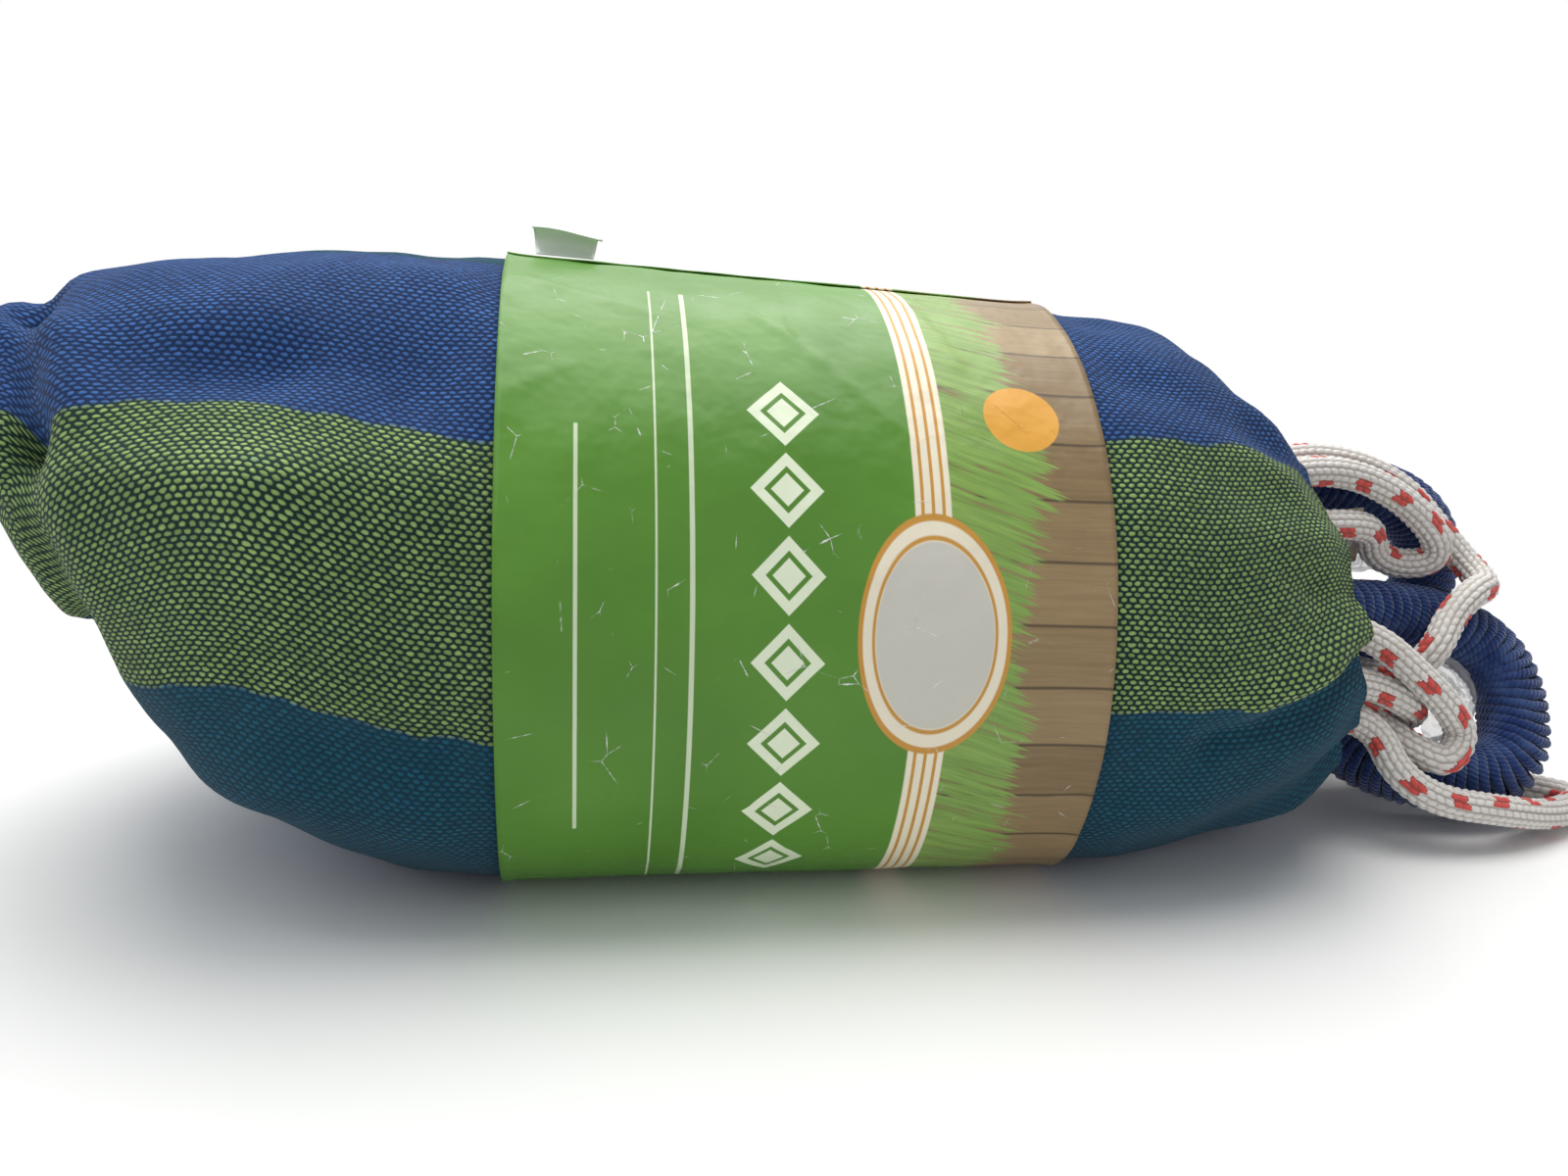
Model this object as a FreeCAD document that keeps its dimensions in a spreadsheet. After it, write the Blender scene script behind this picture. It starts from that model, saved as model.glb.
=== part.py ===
"""Striped cloth hammock packed in its own carry bag, with its hanging ropes and a card sleeve round the middle.

Millimetres. +Z is up and the floor is z = 0. The bag lies along X with its open mouth, the two whipped eyes
and the ropes at +X. The origin is the middle of the object's footprint, the free ropes left out.
"""
import FreeCAD, Part
import math
import os
from FreeCAD import Placement, Rotation, Vector

doc = FreeCAD.newDocument("packed_hammock")

# Driving dimensions: name, value, meaning
DIMENSIONS = [
    ("wall", 1.6, "thickness of the bag's gathered cloth"),
    ("sleeve_start", -79.5, "left edge of the card sleeve"),
    ("sleeve_width", 125.5, "width of the card sleeve along the bag"),
    ("card", 0.45, "thickness of the sleeve's card"),
    ("sleeve_gap", 0.35, "gap between bag and sleeve"),
    ("lap_width", 26, "width of the sleeve's glued lap"),
    ("curl_radius", 4.2, "radius of the lap's curled loose corner"),
    ("curl_length", 16, "length of the curled corner along the bag"),
    ("curl_inset", 12, "distance of the curled corner from the sleeve's left edge"),
    ("belly_top", 136, "height of the bag at the sleeve's left edge"),
    ("waist_top", 129, "height of the bag at the sleeve's right edge"),
    ("belly_half", 76, "half depth of the bag at the sleeve's left edge"),
    ("waist_half", 73, "half depth of the bag at the sleeve's right edge"),
    ("flat_half", 30, "half width of the flat that the bag rests on"),
    ("fold_thick", 13.6, "thickness of one fold of eight plies of bed cloth"),
    ("fold_gap", 1.4, "gap between two folds"),
    ("fold_count", 8, "folds stacked in the bag"),
    ("fold_right", 48, "where the folds turn back near the mouth, along X"),
    ("cloth_end", 49, "where both end hems of the bed lie, along X"),
    ("first_fold", 3.6, "underside of the lowest fold"),
    ("bed_slack", 0.8, "gap between the folded bed and the bag's wall"),
    ("rope_dia", 8, "hanging rope"),
    ("core_dia", 12.8, "bundle of clew cords inside an eye"),
    ("whip_dia", 2.4, "cord wound round an eye"),
    ("whip_turns", 24, "turns wound round an eye"),
    ("whip_start", 64, "length of bare bundle before the winding"),
    ("whip_finish", 66, "length of bare bundle after the winding"),
    ("whip_gap", 0.25, "gap between the whipping and the bundle"),
    ("eye_lean", 35, "angle that the front eye leans back, in degrees"),
    ("seizing_width", 12, "band tied round an eye's neck, along X"),
    ("seizing_wall", 2.6, "thickness of that band"),
    ("seizing_gap", 0.4, "gap between that band and the bundle"),
    ("leg_spacing", 22.4, "distance between the two legs of an eye's neck"),
    ("clew_dia", 3.2, "one clew cord"),
    ("clew_count", 6, "clew cords at each end of the bed"),
    ("clew_ring", 4.4, "radius of the ring in which the clew cords leave the bundle"),
    ("clew_lead", 3.6, "straight lead at each end of a clew cord"),
    ("clew_spread", 62, "width over which the clew cords leave the bed's end hem"),
    ("hank_fillet", 8, "rounding of a hank's long edges"),
    ("film", 0.5, "thickness of the clear film"),
    ("film_width", 13, "width of the film strip in the front eye"),
    ("film_radius", 11.4, "radius of the film strip"),
    ("film_swing", 85, "angle the film strip curls to each side of its middle, in degrees"),
    ("leaflet", 1.2, "thickness of the folded leaflet"),
    ("leaflet_length", 22, "length of the folded leaflet"),
    ("leaflet_height", 13, "height of the folded leaflet"),
    ("sleeve_overrun", 2.5, "length of even bag past each edge of the sleeve"),
]

sheet = doc.addObject("Spreadsheet::Sheet", "Dimensions")
for row, (alias, value, meaning) in enumerate(DIMENSIONS, start=1):
    sheet.set(f"A{row}", meaning)
    sheet.set(f"B{row}", str(value))
    sheet.setAlias(f"B{row}", alias)
doc.recompute()


def size(alias):
    """A driving dimension read from the sheet."""
    return float(sheet.get(alias))


WALL = size("wall")
ROPE = size("rope_dia")
MOUTH_YAW = math.radians(8)
SIDE_ANGLE = math.radians(60)

# Bag sections from tail to mouth: name, bottom x and z, top x and z, half depth, half width of the flat underside
TAIL = [
    ("tail_seam", -192, 80, -194, 118, 14, 5),
    ("tail_corner", -185, 60, -188, 125.5, 40, 12),
    ("tail_shoulder", -162, 33, -165, 131, 60, 20),
    ("tail_flank", -130, 12, -130, 135, 73, 25),
    ("tail_belly", -106, 4, -106, 136.2, 75.6, 28),
]
MOUTH = [
    ("shoulder", 74, 1.8, 71, 126.5, 70, 26),
    ("neck", 108, 6, 94, 114, 57, 18),
    ("mouth", 126, 13, 105.5, 103, 46, 8),
]


def belly_section(x, out=0.0, name="belly"):
    """The bag between the sleeve's edges, an even taper from belly to waist, grown by out all round."""
    start = size("sleeve_start")
    share = (x - start) / size("sleeve_width")
    top = size("belly_top") + share * (size("waist_top") - size("belly_top"))
    half = size("belly_half") + share * (size("waist_half") - size("belly_half"))
    bottom = size("card") + size("sleeve_gap")
    return (name, x, bottom - out, x, top + out, half + out, size("flat_half"))


def inset_section(section, inset):
    """The same section drawn in by a wall."""
    name, bottom_x, bottom_z, top_x, top_z, half, flat = section
    up = Vector(top_x - bottom_x, 0, top_z - bottom_z).normalize()
    low = Vector(bottom_x, 0, bottom_z) + up * inset
    high = Vector(top_x, 0, top_z) - up * inset
    return (name, low.x, low.z, high.x, high.z, half - inset, flat - inset / 2)


def section_wire(section):
    """A closed outline with a flat underside and five tangent arcs, each under a half circle."""
    name, bottom_x, bottom_z, top_x, top_z, half, flat = section
    low = Vector(bottom_x, 0, bottom_z)
    up = Vector(top_x, 0, top_z) - low
    tall = up.Length
    up.normalize()
    yaw = MOUTH_YAW if name == "mouth" else MOUTH_YAW / 2 if name == "neck" else 0.0
    across = Vector(-math.sin(yaw), math.cos(yaw), 0)
    sine = math.sin(SIDE_ANGLE)
    cosine = math.cos(SIDE_ANGLE)
    sides = tall - (1 - cosine) * flat / sine
    lower = (half - flat - sides * (1 - sine)) / (2 * sine - 1)
    flank = sides - lower
    crown = lower + flat / sine

    def place(y, q):
        return low + across * y + up * q

    def turned(y, q, radius, start, angle):
        return (y + radius * (math.sin(angle) - math.sin(start)),
                q + radius * (math.cos(start) - math.cos(angle)))

    corners = [(flat, 0.0)]
    middles = []
    angle = 0.0
    for radius in (lower, flank):
        step = SIDE_ANGLE
        middles.append(turned(*corners[-1], radius, angle, angle + step / 2))
        corners.append(turned(*corners[-1], radius, angle, angle + step))
        angle += step
    right = [Part.Arc(place(*corners[k]), place(*middles[k]), place(*corners[k + 1])) for k in (0, 1)]
    mirror = [(-y, q) for y, q in corners]
    mirror_mid = [(-y, q) for y, q in middles]
    top = Part.Arc(place(*corners[2]), place(0, tall), place(*mirror[2]))
    left = [Part.Arc(place(*mirror[k + 1]), place(*mirror_mid[k]), place(*mirror[k])) for k in (1, 0)]
    base = Part.LineSegment(place(*mirror[0]), place(*corners[0]))
    return Part.Wire([curve.toShape() for curve in (base, *right, top, *left)])


def bag_form(inset, mouth_inset, overshoot=0.0):
    """The bag's outer form, or its hollow: a tail, an even middle and a drawn-in mouth."""
    start = size("sleeve_start") - size("sleeve_overrun")
    end = size("sleeve_start") + size("sleeve_width") + size("sleeve_overrun")
    lead = 6
    tail = [inset_section(s, inset) for s in TAIL]
    if inset:
        name, low_x, low_z, high_x, high_z, half, flat = tail[0]
        tail[0] = (name, low_x + inset, low_z, high_x + inset, high_z, half, flat)
    tail += [inset_section(belly_section(x), inset) for x in (start - lead, start)]
    mouth = [inset_section(belly_section(x), inset) for x in (end, end + lead)]
    for section, share in zip(MOUTH, (0.0, 0.4, 1.0)):
        mouth.append(inset_section(section, inset + share * (mouth_inset - inset)))
    if overshoot:
        name, low_x, low_z, high_x, high_z, half, flat = mouth[-1]
        mouth.append((name, low_x + overshoot, low_z, high_x + overshoot, high_z, half, flat))
    parts = [Part.makeLoft([section_wire(s) for s in tail], True, False),
             Part.makeLoft([section_wire(tail[-1]), section_wire(mouth[0])], True, True),
             Part.makeLoft([section_wire(s) for s in mouth], True, False)]
    return parts[0].fuse(parts[1:]).removeSplitter()


def feature(name, shape):
    """A document object that holds a shape made by Part's own functions."""
    item = doc.addObject("Part::Feature", name)
    item.Label = name
    item.Shape = shape
    item.Placement = Placement()
    return item


def bound(item, **bindings):
    """Ties an object's properties to cells of the sheet."""
    for prop, expression in bindings.items():
        item.setExpression(prop, expression)


def carry_bag():
    outer = feature("bag_outer_form", bag_form(0, 0))
    hollow = feature("bag_hollow_form", bag_form(WALL, WALL + 1.4, overshoot=6))
    bag = doc.addObject("Part::Cut", "carry_bag")
    bag.Base = outer
    bag.Tool = hollow
    return bag


def half_turn(x, z_from, z_to, side):
    """Two quarter arcs that turn a fold's edge back on itself, bulging to side (-1 left, +1 right)."""
    radius = abs(z_to - z_from) / 2
    middle = (z_from + z_to) / 2
    rise = math.copysign(radius, z_to - z_from)
    low = Vector(x, 0, middle - rise)
    tip = Vector(x + side * radius, 0, middle)
    high = Vector(x, 0, middle + rise)
    slant = radius * math.sqrt(0.5)
    first = Vector(x + side * slant, 0, middle - math.copysign(slant, rise))
    second = Vector(x + side * slant, 0, middle + math.copysign(slant, rise))
    return [Part.Arc(low, first, tip), Part.Arc(tip, second, high)]


# Where each pair of folds turns back near the tail, along X, by the number of its lower fold
FOLD_TURNS = {0: -106, 2: -154, 4: -176, 6: -176}


def fold_outline():
    """The bed cloth's zigzag stack seen along Y, both of its ends at the mouth."""
    thick = size("fold_thick")
    pitch = thick + size("fold_gap")
    count = int(size("fold_count"))
    under = [size("first_fold") + k * pitch for k in range(count)]
    over = [z + thick for z in under]
    bend = (pitch + thick) / 2
    right_end = size("fold_right")
    cloth_end = size("cloth_end")
    curves = []

    def line(x_from, x_to, z):
        curves.append(Part.LineSegment(Vector(x_from, 0, z), Vector(x_to, 0, z)))

    x = cloth_end
    for k in range(0, count, 2):
        turn = FOLD_TURNS[k] + bend
        line(x, turn, under[k])
        curves.extend(half_turn(turn, under[k], over[k + 1], -1))
        x = cloth_end if k + 2 == count else right_end - bend
        line(turn, x, over[k + 1])
        if k + 2 < count:
            curves.extend(half_turn(x, over[k + 1], under[k + 2], 1))
    curves.append(Part.LineSegment(Vector(x, 0, over[-1]), Vector(x, 0, under[-1])))
    for k in range(count - 2, -1, -2):
        turn = FOLD_TURNS[k] + bend
        line(x, turn, under[k + 1])
        curves.extend(half_turn(turn, under[k + 1], over[k], -1))
        x = cloth_end if k == 0 else right_end - bend
        line(turn, x, over[k])
        if k:
            curves.extend(half_turn(x, over[k], under[k - 1], 1))
    curves.append(Part.LineSegment(Vector(x, 0, over[0]), Vector(x, 0, under[0])))
    return Part.Wire([curve.toShape() for curve in curves])


def hammock_bed():
    """The cloth bed, folded lengthwise and zigzagged, filling the bag's rounded hollow."""
    outline = feature("bed_fold_outline", Part.Face(fold_outline()))
    stack = doc.addObject("Part::Extrusion", "bed_fold_stack")
    stack.Base = outline
    stack.Dir = Vector(0, 1, 0)
    bound(stack, LengthFwd="Dimensions.belly_half", LengthRev="Dimensions.belly_half")
    stack.Solid = True
    hollow = feature("bed_space_form", bag_form(WALL + size("bed_slack"), WALL + 2))
    bed = doc.addObject("Part::Common", "hammock_bed")
    bed.Base = stack
    bed.Tool = hollow
    return bed


def card_sleeve():
    """The card band round the bag's middle, its glued lap on the crown and the lap's loose, curled corner."""
    start = size("sleeve_start")
    end = start + size("sleeve_width")
    gap = size("sleeve_gap")
    card = size("card")

    def band(out):
        return Part.makeLoft([section_wire(belly_section(x, out)) for x in (start, end)], True, True)

    outer = band(gap + card)
    ring = outer.cut(band(gap))
    lap_zone = Part.makeBox(end - start, size("lap_width"), 100, Vector(start, 0, 60))
    lap = band(gap + 2 * card).cut(outer).common(lap_zone)
    return feature("label_sleeve", ring.fuse([lap, lap_curl()]).removeSplitter())


def lap_curl():
    """The loose corner of the lap, curled up and back over its own front edge."""
    card = size("card")
    outer = size("curl_radius")
    inner = outer - card
    begin = size("sleeve_start") + size("curl_inset")
    crown = belly_section(begin, size("sleeve_gap") + 1.5 * card)[4]
    centre = Vector(begin, outer / 2, crown + outer)

    def rim(radius, degrees):
        angle = math.radians(degrees)
        return centre + Vector(0, radius * math.cos(angle), radius * math.sin(angle))

    first, last = -80, -235
    middle = (first + last) / 2
    outline = Part.Wire([
        Part.Arc(rim(outer, first), rim(outer, middle), rim(outer, last)).toShape(),
        Part.LineSegment(rim(outer, last), rim(inner, last)).toShape(),
        Part.Arc(rim(inner, last), rim(inner, middle), rim(inner, first)).toShape(),
        Part.LineSegment(rim(inner, first), rim(outer, first)).toShape()])
    curl = Part.Face(outline).extrude(Vector(size("curl_length"), 0, 0))
    fall = math.degrees(math.atan((size("belly_top") - size("waist_top")) / size("sleeve_width")))
    curl.rotate(Vector(begin, 0, crown), Vector(0, 1, 0), fall)
    return curl


def rounded_path(points, share=0.45):
    """Straight runs joined by tangent arcs as large as the runs allow, and the arcs' radii."""
    points = [Vector(*p) for p in points]
    edges = []
    radii = []
    begin = points[0]
    for before, corner, after in zip(points, points[1:], points[2:]):
        run_in = corner - before
        run_out = after - corner
        turn = run_in.getAngle(run_out)
        setback = share * min(run_in.Length, run_out.Length)
        radius = setback / math.tan(turn / 2)
        arc_start = corner - run_in.normalize() * setback
        arc_end = corner + run_out.normalize() * setback
        inward = (arc_start + arc_end) / 2 - corner
        reach = radius / math.cos(turn / 2) - radius
        middle = corner + inward.normalize() * reach
        edges.append(Part.LineSegment(begin, arc_start).toShape())
        edges.append(Part.Arc(arc_start, middle, arc_end).toShape())
        radii.append(radius)
        begin = arc_end
    edges.append(Part.LineSegment(begin, points[-1]).toShape())
    return Part.Wire(edges), radii


def tube(path, diameter):
    """A round tube along a wire, in the default mode of the pipe shell."""
    first = path.OrderedEdges[0]
    tangent = first.tangentAt(first.FirstParameter)
    start = first.valueAt(first.FirstParameter)
    profile = Part.Wire([Part.Circle(start, tangent, diameter / 2).toShape()])
    return path.makePipeShell([profile], True, False)


def rope(name, points, diameter=ROPE):
    """One free stretch of rope; prints its radii and its volume against section times length."""
    path, radii = rounded_path(points)
    solid = tube(path, diameter)
    section = math.pi * diameter ** 2 / 4
    print(f"{name}: length {path.Length:.1f} mm, radii " + " ".join(f"{r:.1f}" for r in radii)
          + f", volume over section times length {solid.Volume / (section * path.Length):.4f}")
    return feature(name, solid)


# Free ropes from the bag's mouth to the hanks inside it, as points of their routes
ROPE_ROUTES = {
    "rope_upper_outer": [
        (102, 7, 90), (115, 7, 90), (129, 9, 92.5), (144, 8.6, 90.5), (158, 7.9, 84), (168, 6.8, 74), (176, 3, 65),
        (177.5, -6, 60.5), (170, -11, 60.5), (162.5, -14, 55), (157, -18.5, 47), (152, -15.5, 39.5),
        (148, -4, 35), (139, 6, 38), (126, 9.5, 40), (114, 12, 41), (102, 12, 41)],
    "rope_upper_curl": [
        (102, -3, 89), (114, -3, 89), (128, -0.5, 90.5), (141, 0, 88.5), (154, -0.5, 82), (164, -1.5, 73),
        (165, 0, 66), (156, 3.5, 64), (148, 3.5, 68), (145, 0, 75), (134, -4, 77), (114, -5, 75.5), (102, -5, 75.5)],
    "rope_front_loop": [
        (102, -23, 54), (114, -23, 54), (123, -23.5, 55), (135, -25, 52.5), (145, -30, 44), (154, -31, 36),
        (159.5, -31, 28.5), (154, -35, 22), (147.5, -31, 24), (139, -21, 29), (126, -17.5, 36), (114, -22, 41),
        (102, -22, 41)],
    "rope_front_inner": [
        (102, -34, 44), (113, -34, 44), (123, -29.5, 42.5), (134, -26, 40.5), (143, -27, 36.9), (151.5, -22.5, 31.4),
        (153, -11, 25), (146, -1, 25.5), (134, 7, 29), (123, 11.5, 28.5), (113, 12, 26.5), (102, 12, 26.5)],
    "rope_floor_bight": [
        (102, -30, 33), (114, -30, 33), (128, -27.5, 33), (136.5, -30, 29), (139, -36, 20.5), (149, -39.5, 14),
        (167, -39.5, 11), (185, -33.5, 6.5), (198, -26.5, 5), (205, -20.5, 5), (197, -13.5, 5), (180, -4, 5),
        (162, 3, 6), (148, 9, 14), (136, 14, 23), (124, 20, 28), (113, 22, 28), (102, 22, 28)],
}


def eye_point(along, rise):
    """A point in the plane of the front eye, which leans back: along X, and up the slope from its foot."""
    foot = (173, -28, 9)
    lean = math.radians(size("eye_lean"))
    return (foot[0] + along, foot[1] + rise * math.sin(lean), foot[2] + rise * math.cos(lean))


FILM_CENTRE = eye_point(-12, 27)
EYE_ROUTES = {
    "front": [(66, -4, 54), (106, -4, 54), eye_point(12, 50), eye_point(12, 4), (148, -17.5, 12.3), (130, -6, 26),
              (108, -8, 32), (66, -8, 32)],
    "rear": [(66, 22, 84), (106, 22, 84), (177, 21.5, 81), (177, 21.5, 36), (136, 22, 38), (121, 23, 49),
             (106, 22, 61.6), (66, 22, 61.6)],
}


def path_frames(wire, stations):
    """Points, tangents and steadily carried normals at given lengths along a wire."""
    frames = []
    side = None
    for length in stations:
        walked = 0.0
        for edge in wire.OrderedEdges:
            if length <= walked + edge.Length or edge.isSame(wire.OrderedEdges[-1]):
                break
            walked += edge.Length
        at = edge.getParameterByLength(min(max(length - walked, 0), edge.Length))
        point = edge.valueAt(at)
        tangent = edge.tangentAt(at)
        if side is None:
            side = tangent.cross(Vector(0, 1, 0)).normalize()
        side = (side - tangent * side.dot(tangent)).normalize()
        frames.append((point, tangent, side))
    return frames


def winding_point(frame, radius, angle):
    """A point on the winding's helix round the path."""
    point, tangent, side = frame
    other = tangent.cross(side)
    return point + side * (radius * math.cos(angle)) + other * (radius * math.sin(angle))


def biarc(start, start_way, end, end_way):
    """Two tangent arcs from start to end with the given directions, their outer tangents alike in length."""
    chord = end - start
    along = chord.dot(start_way + end_way)
    spread = 2 * (1 - start_way.dot(end_way))
    reach = (math.sqrt(along ** 2 + spread * chord.dot(chord)) - along) / spread
    joint = (start + end + (start_way - end_way) * reach) / 2
    return arc_from(start, start_way, joint) + arc_to(joint, end, end_way)


def arc_from(start, way, end):
    """One arc that leaves start along way and reaches end."""
    chord = end - start
    normal = (chord - way * chord.dot(way)).normalize()
    radius = chord.dot(chord) / (2 * chord.dot(normal))
    centre = start + normal * radius
    outward = (way + Vector(chord).normalize()).normalize()
    half = outward.getAngle(way)
    swing = start - centre
    middle = centre + swing * math.cos(half) + way * (radius * math.sin(half))
    return [Part.Arc(start, middle, end)]


def arc_to(start, end, way):
    """One arc that starts at start and reaches end along way."""
    back = arc_from(end, way * -1, start)[0]
    return [Part.Arc(start, back.value((back.FirstParameter + back.LastParameter) / 2), end)]


def winding(wire, begin, finish, turns, radius, diameter, name):
    """One unbroken cord wound round a path, as biarcs of half a turn; prints its least gap to itself."""
    steps = 2 * turns
    fine = 12
    total = steps * fine
    stations = [begin + (finish - begin) * k / total for k in range(-1, total + 2)]
    frames = path_frames(wire, stations)
    helix = [winding_point(frame, radius, math.pi * (k - 1) / fine) for k, frame in enumerate(frames)]
    knots = []
    for k in range(steps + 1):
        at = k * fine + 1
        way = (helix[at + 1] - helix[at - 1]).normalize()
        knots.append((helix[at], way))
    curves = []
    for (start, start_way), (end, end_way) in zip(knots, knots[1:]):
        curves += biarc(start, start_way, end, end_way)
    path = Part.Wire([curve.toShape() for curve in curves])
    print(f"{name}: {turns} turns, {path.Length:.0f} mm of cord, least gap to itself "
          f"{least_gap(path, 2 * math.pi * radius, diameter):.2f} mm, least radius "
          f"{min(edge.Curve.Radius for edge in path.Edges):.2f} mm")
    return tube(path, diameter)


def least_gap(path, turn_length, diameter):
    """Smallest clear distance between two stretches of a cord at least half a turn apart, on points."""
    spacing = 1.0
    points = path.discretize(Distance=spacing)
    near = int(turn_length / 2 / spacing)
    reach = int(turn_length * 1.6 / spacing)
    least = min(points[k].distanceToPoint(points[m])
                for k in range(len(points)) for m in range(k + near, min(k + reach, len(points))))
    return least - diameter


def eye(end):
    """An eye's bundle of clew cords, and the cord wound round the part of it outside the bag."""
    path, radii = rounded_path(EYE_ROUTES[end])
    core = tube(path, size("core_dia"))
    print(f"eye_core_{end}: length {path.Length:.1f} mm, radii " + " ".join(f"{r:.1f}" for r in radii))
    feature(f"eye_core_{end}", core)
    radius = size("core_dia") / 2 + size("whip_gap") + size("whip_dia") / 2
    finish = path.Length - size("whip_finish")
    name = f"eye_whipping_{end}"
    cord = winding(path, size("whip_start"), finish, int(size("whip_turns")), radius, size("whip_dia"), name)
    feature(name, cord)


def sketch_across(body, name):
    """An empty sketch on the body's plane across X."""
    sketch = body.newObject("Sketcher::SketchObject", name)
    plane = next(item for item in body.Origin.OriginFeatures if item.Role == "YZ_Plane")
    sketch.AttachmentSupport = [(plane, "")]
    sketch.MapMode = "FlatFace"
    return sketch


def neck_seizing(end, middle, slant):
    """The band tied round both legs of an eye's neck: a padded slot outline with a slot inside it."""
    body = doc.addObject("PartDesign::Body", f"neck_seizing_{end}")
    body.Label = f"neck_seizing_{end}"
    sketch = sketch_across(body, f"band_outline_{end}")
    half = size("leg_spacing") / 2
    inner = size("core_dia") / 2 + size("seizing_gap")
    for radius in (inner + size("seizing_wall"), inner):
        up = Part.ArcOfCircle(Part.Circle(Vector(0, half, 0), Vector(0, 0, 1), radius), 0, math.pi)
        down = Part.ArcOfCircle(Part.Circle(Vector(0, -half, 0), Vector(0, 0, 1), radius), math.pi, 2 * math.pi)
        sketch.addGeometry([up, down,
                            Part.LineSegment(Vector(radius, -half, 0), Vector(radius, half, 0)),
                            Part.LineSegment(Vector(-radius, half, 0), Vector(-radius, -half, 0))], False)
    pad = body.newObject("PartDesign::Pad", f"band_{end}")
    pad.Profile = sketch
    bound(pad, Length="Dimensions.seizing_width")
    doc.recompute()
    body.Tip = pad
    body.Placement = Placement(Vector(*middle), Rotation(Vector(1, 0, 0), slant))
    return body


def clew_cords(end, neck, hem_x, hem_z):
    """Cords that fan out from an eye's neck to the end hem of the bed."""
    count = int(size("clew_count"))
    ring = size("clew_ring")
    lead = Vector(size("clew_lead"), 0, 0)
    cords = []
    for k in range(count):
        share = k / (count - 1) - 0.5
        angle = 2 * math.pi * k / count
        start = Vector(*neck) + Vector(0, ring * math.cos(angle), ring * math.sin(angle))
        finish = Vector(hem_x, size("clew_spread") * share, hem_z)
        path, _ = rounded_path([start, start - lead, finish + lead, finish], share=0.3)
        cords.append(tube(path, size("clew_dia")))
    return feature(f"clew_cords_{end}", Part.makeCompound(cords))


def hank(name, corner, extent):
    """A put-away length of rope, folded into a block with rounded long edges."""
    block = doc.addObject("Part::Box", f"{name}_block")
    block.Length, block.Width, block.Height = extent
    block.Placement.Base = Vector(*corner)
    doc.recompute()
    rounded = doc.addObject("Part::Fillet", name)
    rounded.Base = block
    radius = size("hank_fillet")
    along = [k for k, edge in enumerate(block.Shape.Edges, start=1)
             if abs(edge.tangentAt(edge.FirstParameter).x) > 0.99]
    rounded.Edges = [(k, radius, radius) for k in along]
    return rounded


def clear_film():
    """A strip of clear film curled round the inside of the front eye."""
    lean = math.radians(size("eye_lean"))
    slope = Vector(0, math.sin(lean), math.cos(lean))
    normal = Vector(0, -math.cos(lean), math.sin(lean))
    outer = size("film_radius")
    inner = outer - size("film")
    width = size("film_width")
    centre = Vector(*FILM_CENTRE) - normal * (width / 2)

    def ring(radius, degrees):
        angle = math.radians(degrees)
        return centre + Vector(1, 0, 0) * (radius * math.cos(angle)) + slope * (radius * math.sin(angle))

    swing = size("film_swing")
    outline = Part.Wire([
        Part.Arc(ring(outer, -swing), ring(outer, 0), ring(outer, swing)).toShape(),
        Part.LineSegment(ring(outer, swing), ring(inner, swing)).toShape(),
        Part.Arc(ring(inner, swing), ring(inner, 0), ring(inner, -swing)).toShape(),
        Part.LineSegment(ring(inner, -swing), ring(outer, -swing)).toShape()])
    return feature("clear_film", Part.Face(outline).extrude(normal * width))


def leaflet():
    """The folded leaflet that shows pale between the ropes in the upper eye."""
    page = doc.addObject("Part::Box", "folded_leaflet")
    bound(page, Length="Dimensions.leaflet_length", Width="Dimensions.leaflet", Height="Dimensions.leaflet_height")
    page.Placement.Base = Vector(116, 6.5, 61)
    return page


def write_pieces():
    """Checks every object and writes each finished piece to its file."""
    doc.recompute()
    os.makedirs("parts", exist_ok=True)
    for item in doc.Objects:
        bad = {"Invalid", "Error"} & set(item.State)
        if bad:
            raise RuntimeError(f"{item.Label} is {bad}")
    for name in PIECES:
        shape = doc.getObject(name).Shape
        if shape.isNull() or not shape.isValid():
            raise RuntimeError(f"{name} has no valid shape")
        shape.exportStep(f"parts/{name}.step")
        box = shape.BoundBox
        print(f"{name}: {len(shape.Solids)} solids, {shape.Volume / 1000:.1f} cm3, "
              f"x {box.XMin:.1f} {box.XMax:.1f}, y {box.YMin:.1f} {box.YMax:.1f}, z {box.ZMin:.1f} {box.ZMax:.1f}")


# Put-away rope: least corner and extent of each block
HANKS = {
    "rope_hank_upper": ((64, -14, 65), (38, 25, 32)),
    "rope_hank_front": ((64, -45, 22), (38, 27, 56)),
    "rope_hank_lower": ((64, 7, 20), (38, 29, 30)),
}

# Points where clew cords leave each eye's neck, and where they reach the bed's end hem along X and Z
CLEW_ENDS = {
    "front": ((65.5, -8, 32), 49.3, 10),
    "rear": ((65.5, 22, 84), 49.3, 113),
}

# Middle of each eye's neck seizing and its slant in degrees
NECKS = {
    "front": ((74, -6, 43), -10.3),
    "rear": ((74, 22, 72.8), 0),
}

PIECES = ["carry_bag", "hammock_bed", "label_sleeve", "eye_core_front", "eye_core_rear", "eye_whipping_front",
          "eye_whipping_rear", "neck_seizing_front", "neck_seizing_rear", "clew_cords_front", "clew_cords_rear",
          *HANKS, "clear_film", "folded_leaflet", *ROPE_ROUTES]

carry_bag()
hammock_bed()
card_sleeve()
for end_name in EYE_ROUTES:
    eye(end_name)
    neck_seizing(end_name, *NECKS[end_name])
    clew_cords(end_name, *CLEW_ENDS[end_name])
for hank_name, (corner, extent) in HANKS.items():
    hank(hank_name, corner, extent)
clear_film()
leaflet()
for rope_name, route in ROPE_ROUTES.items():
    rope(rope_name, route)
write_pieces()
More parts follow.
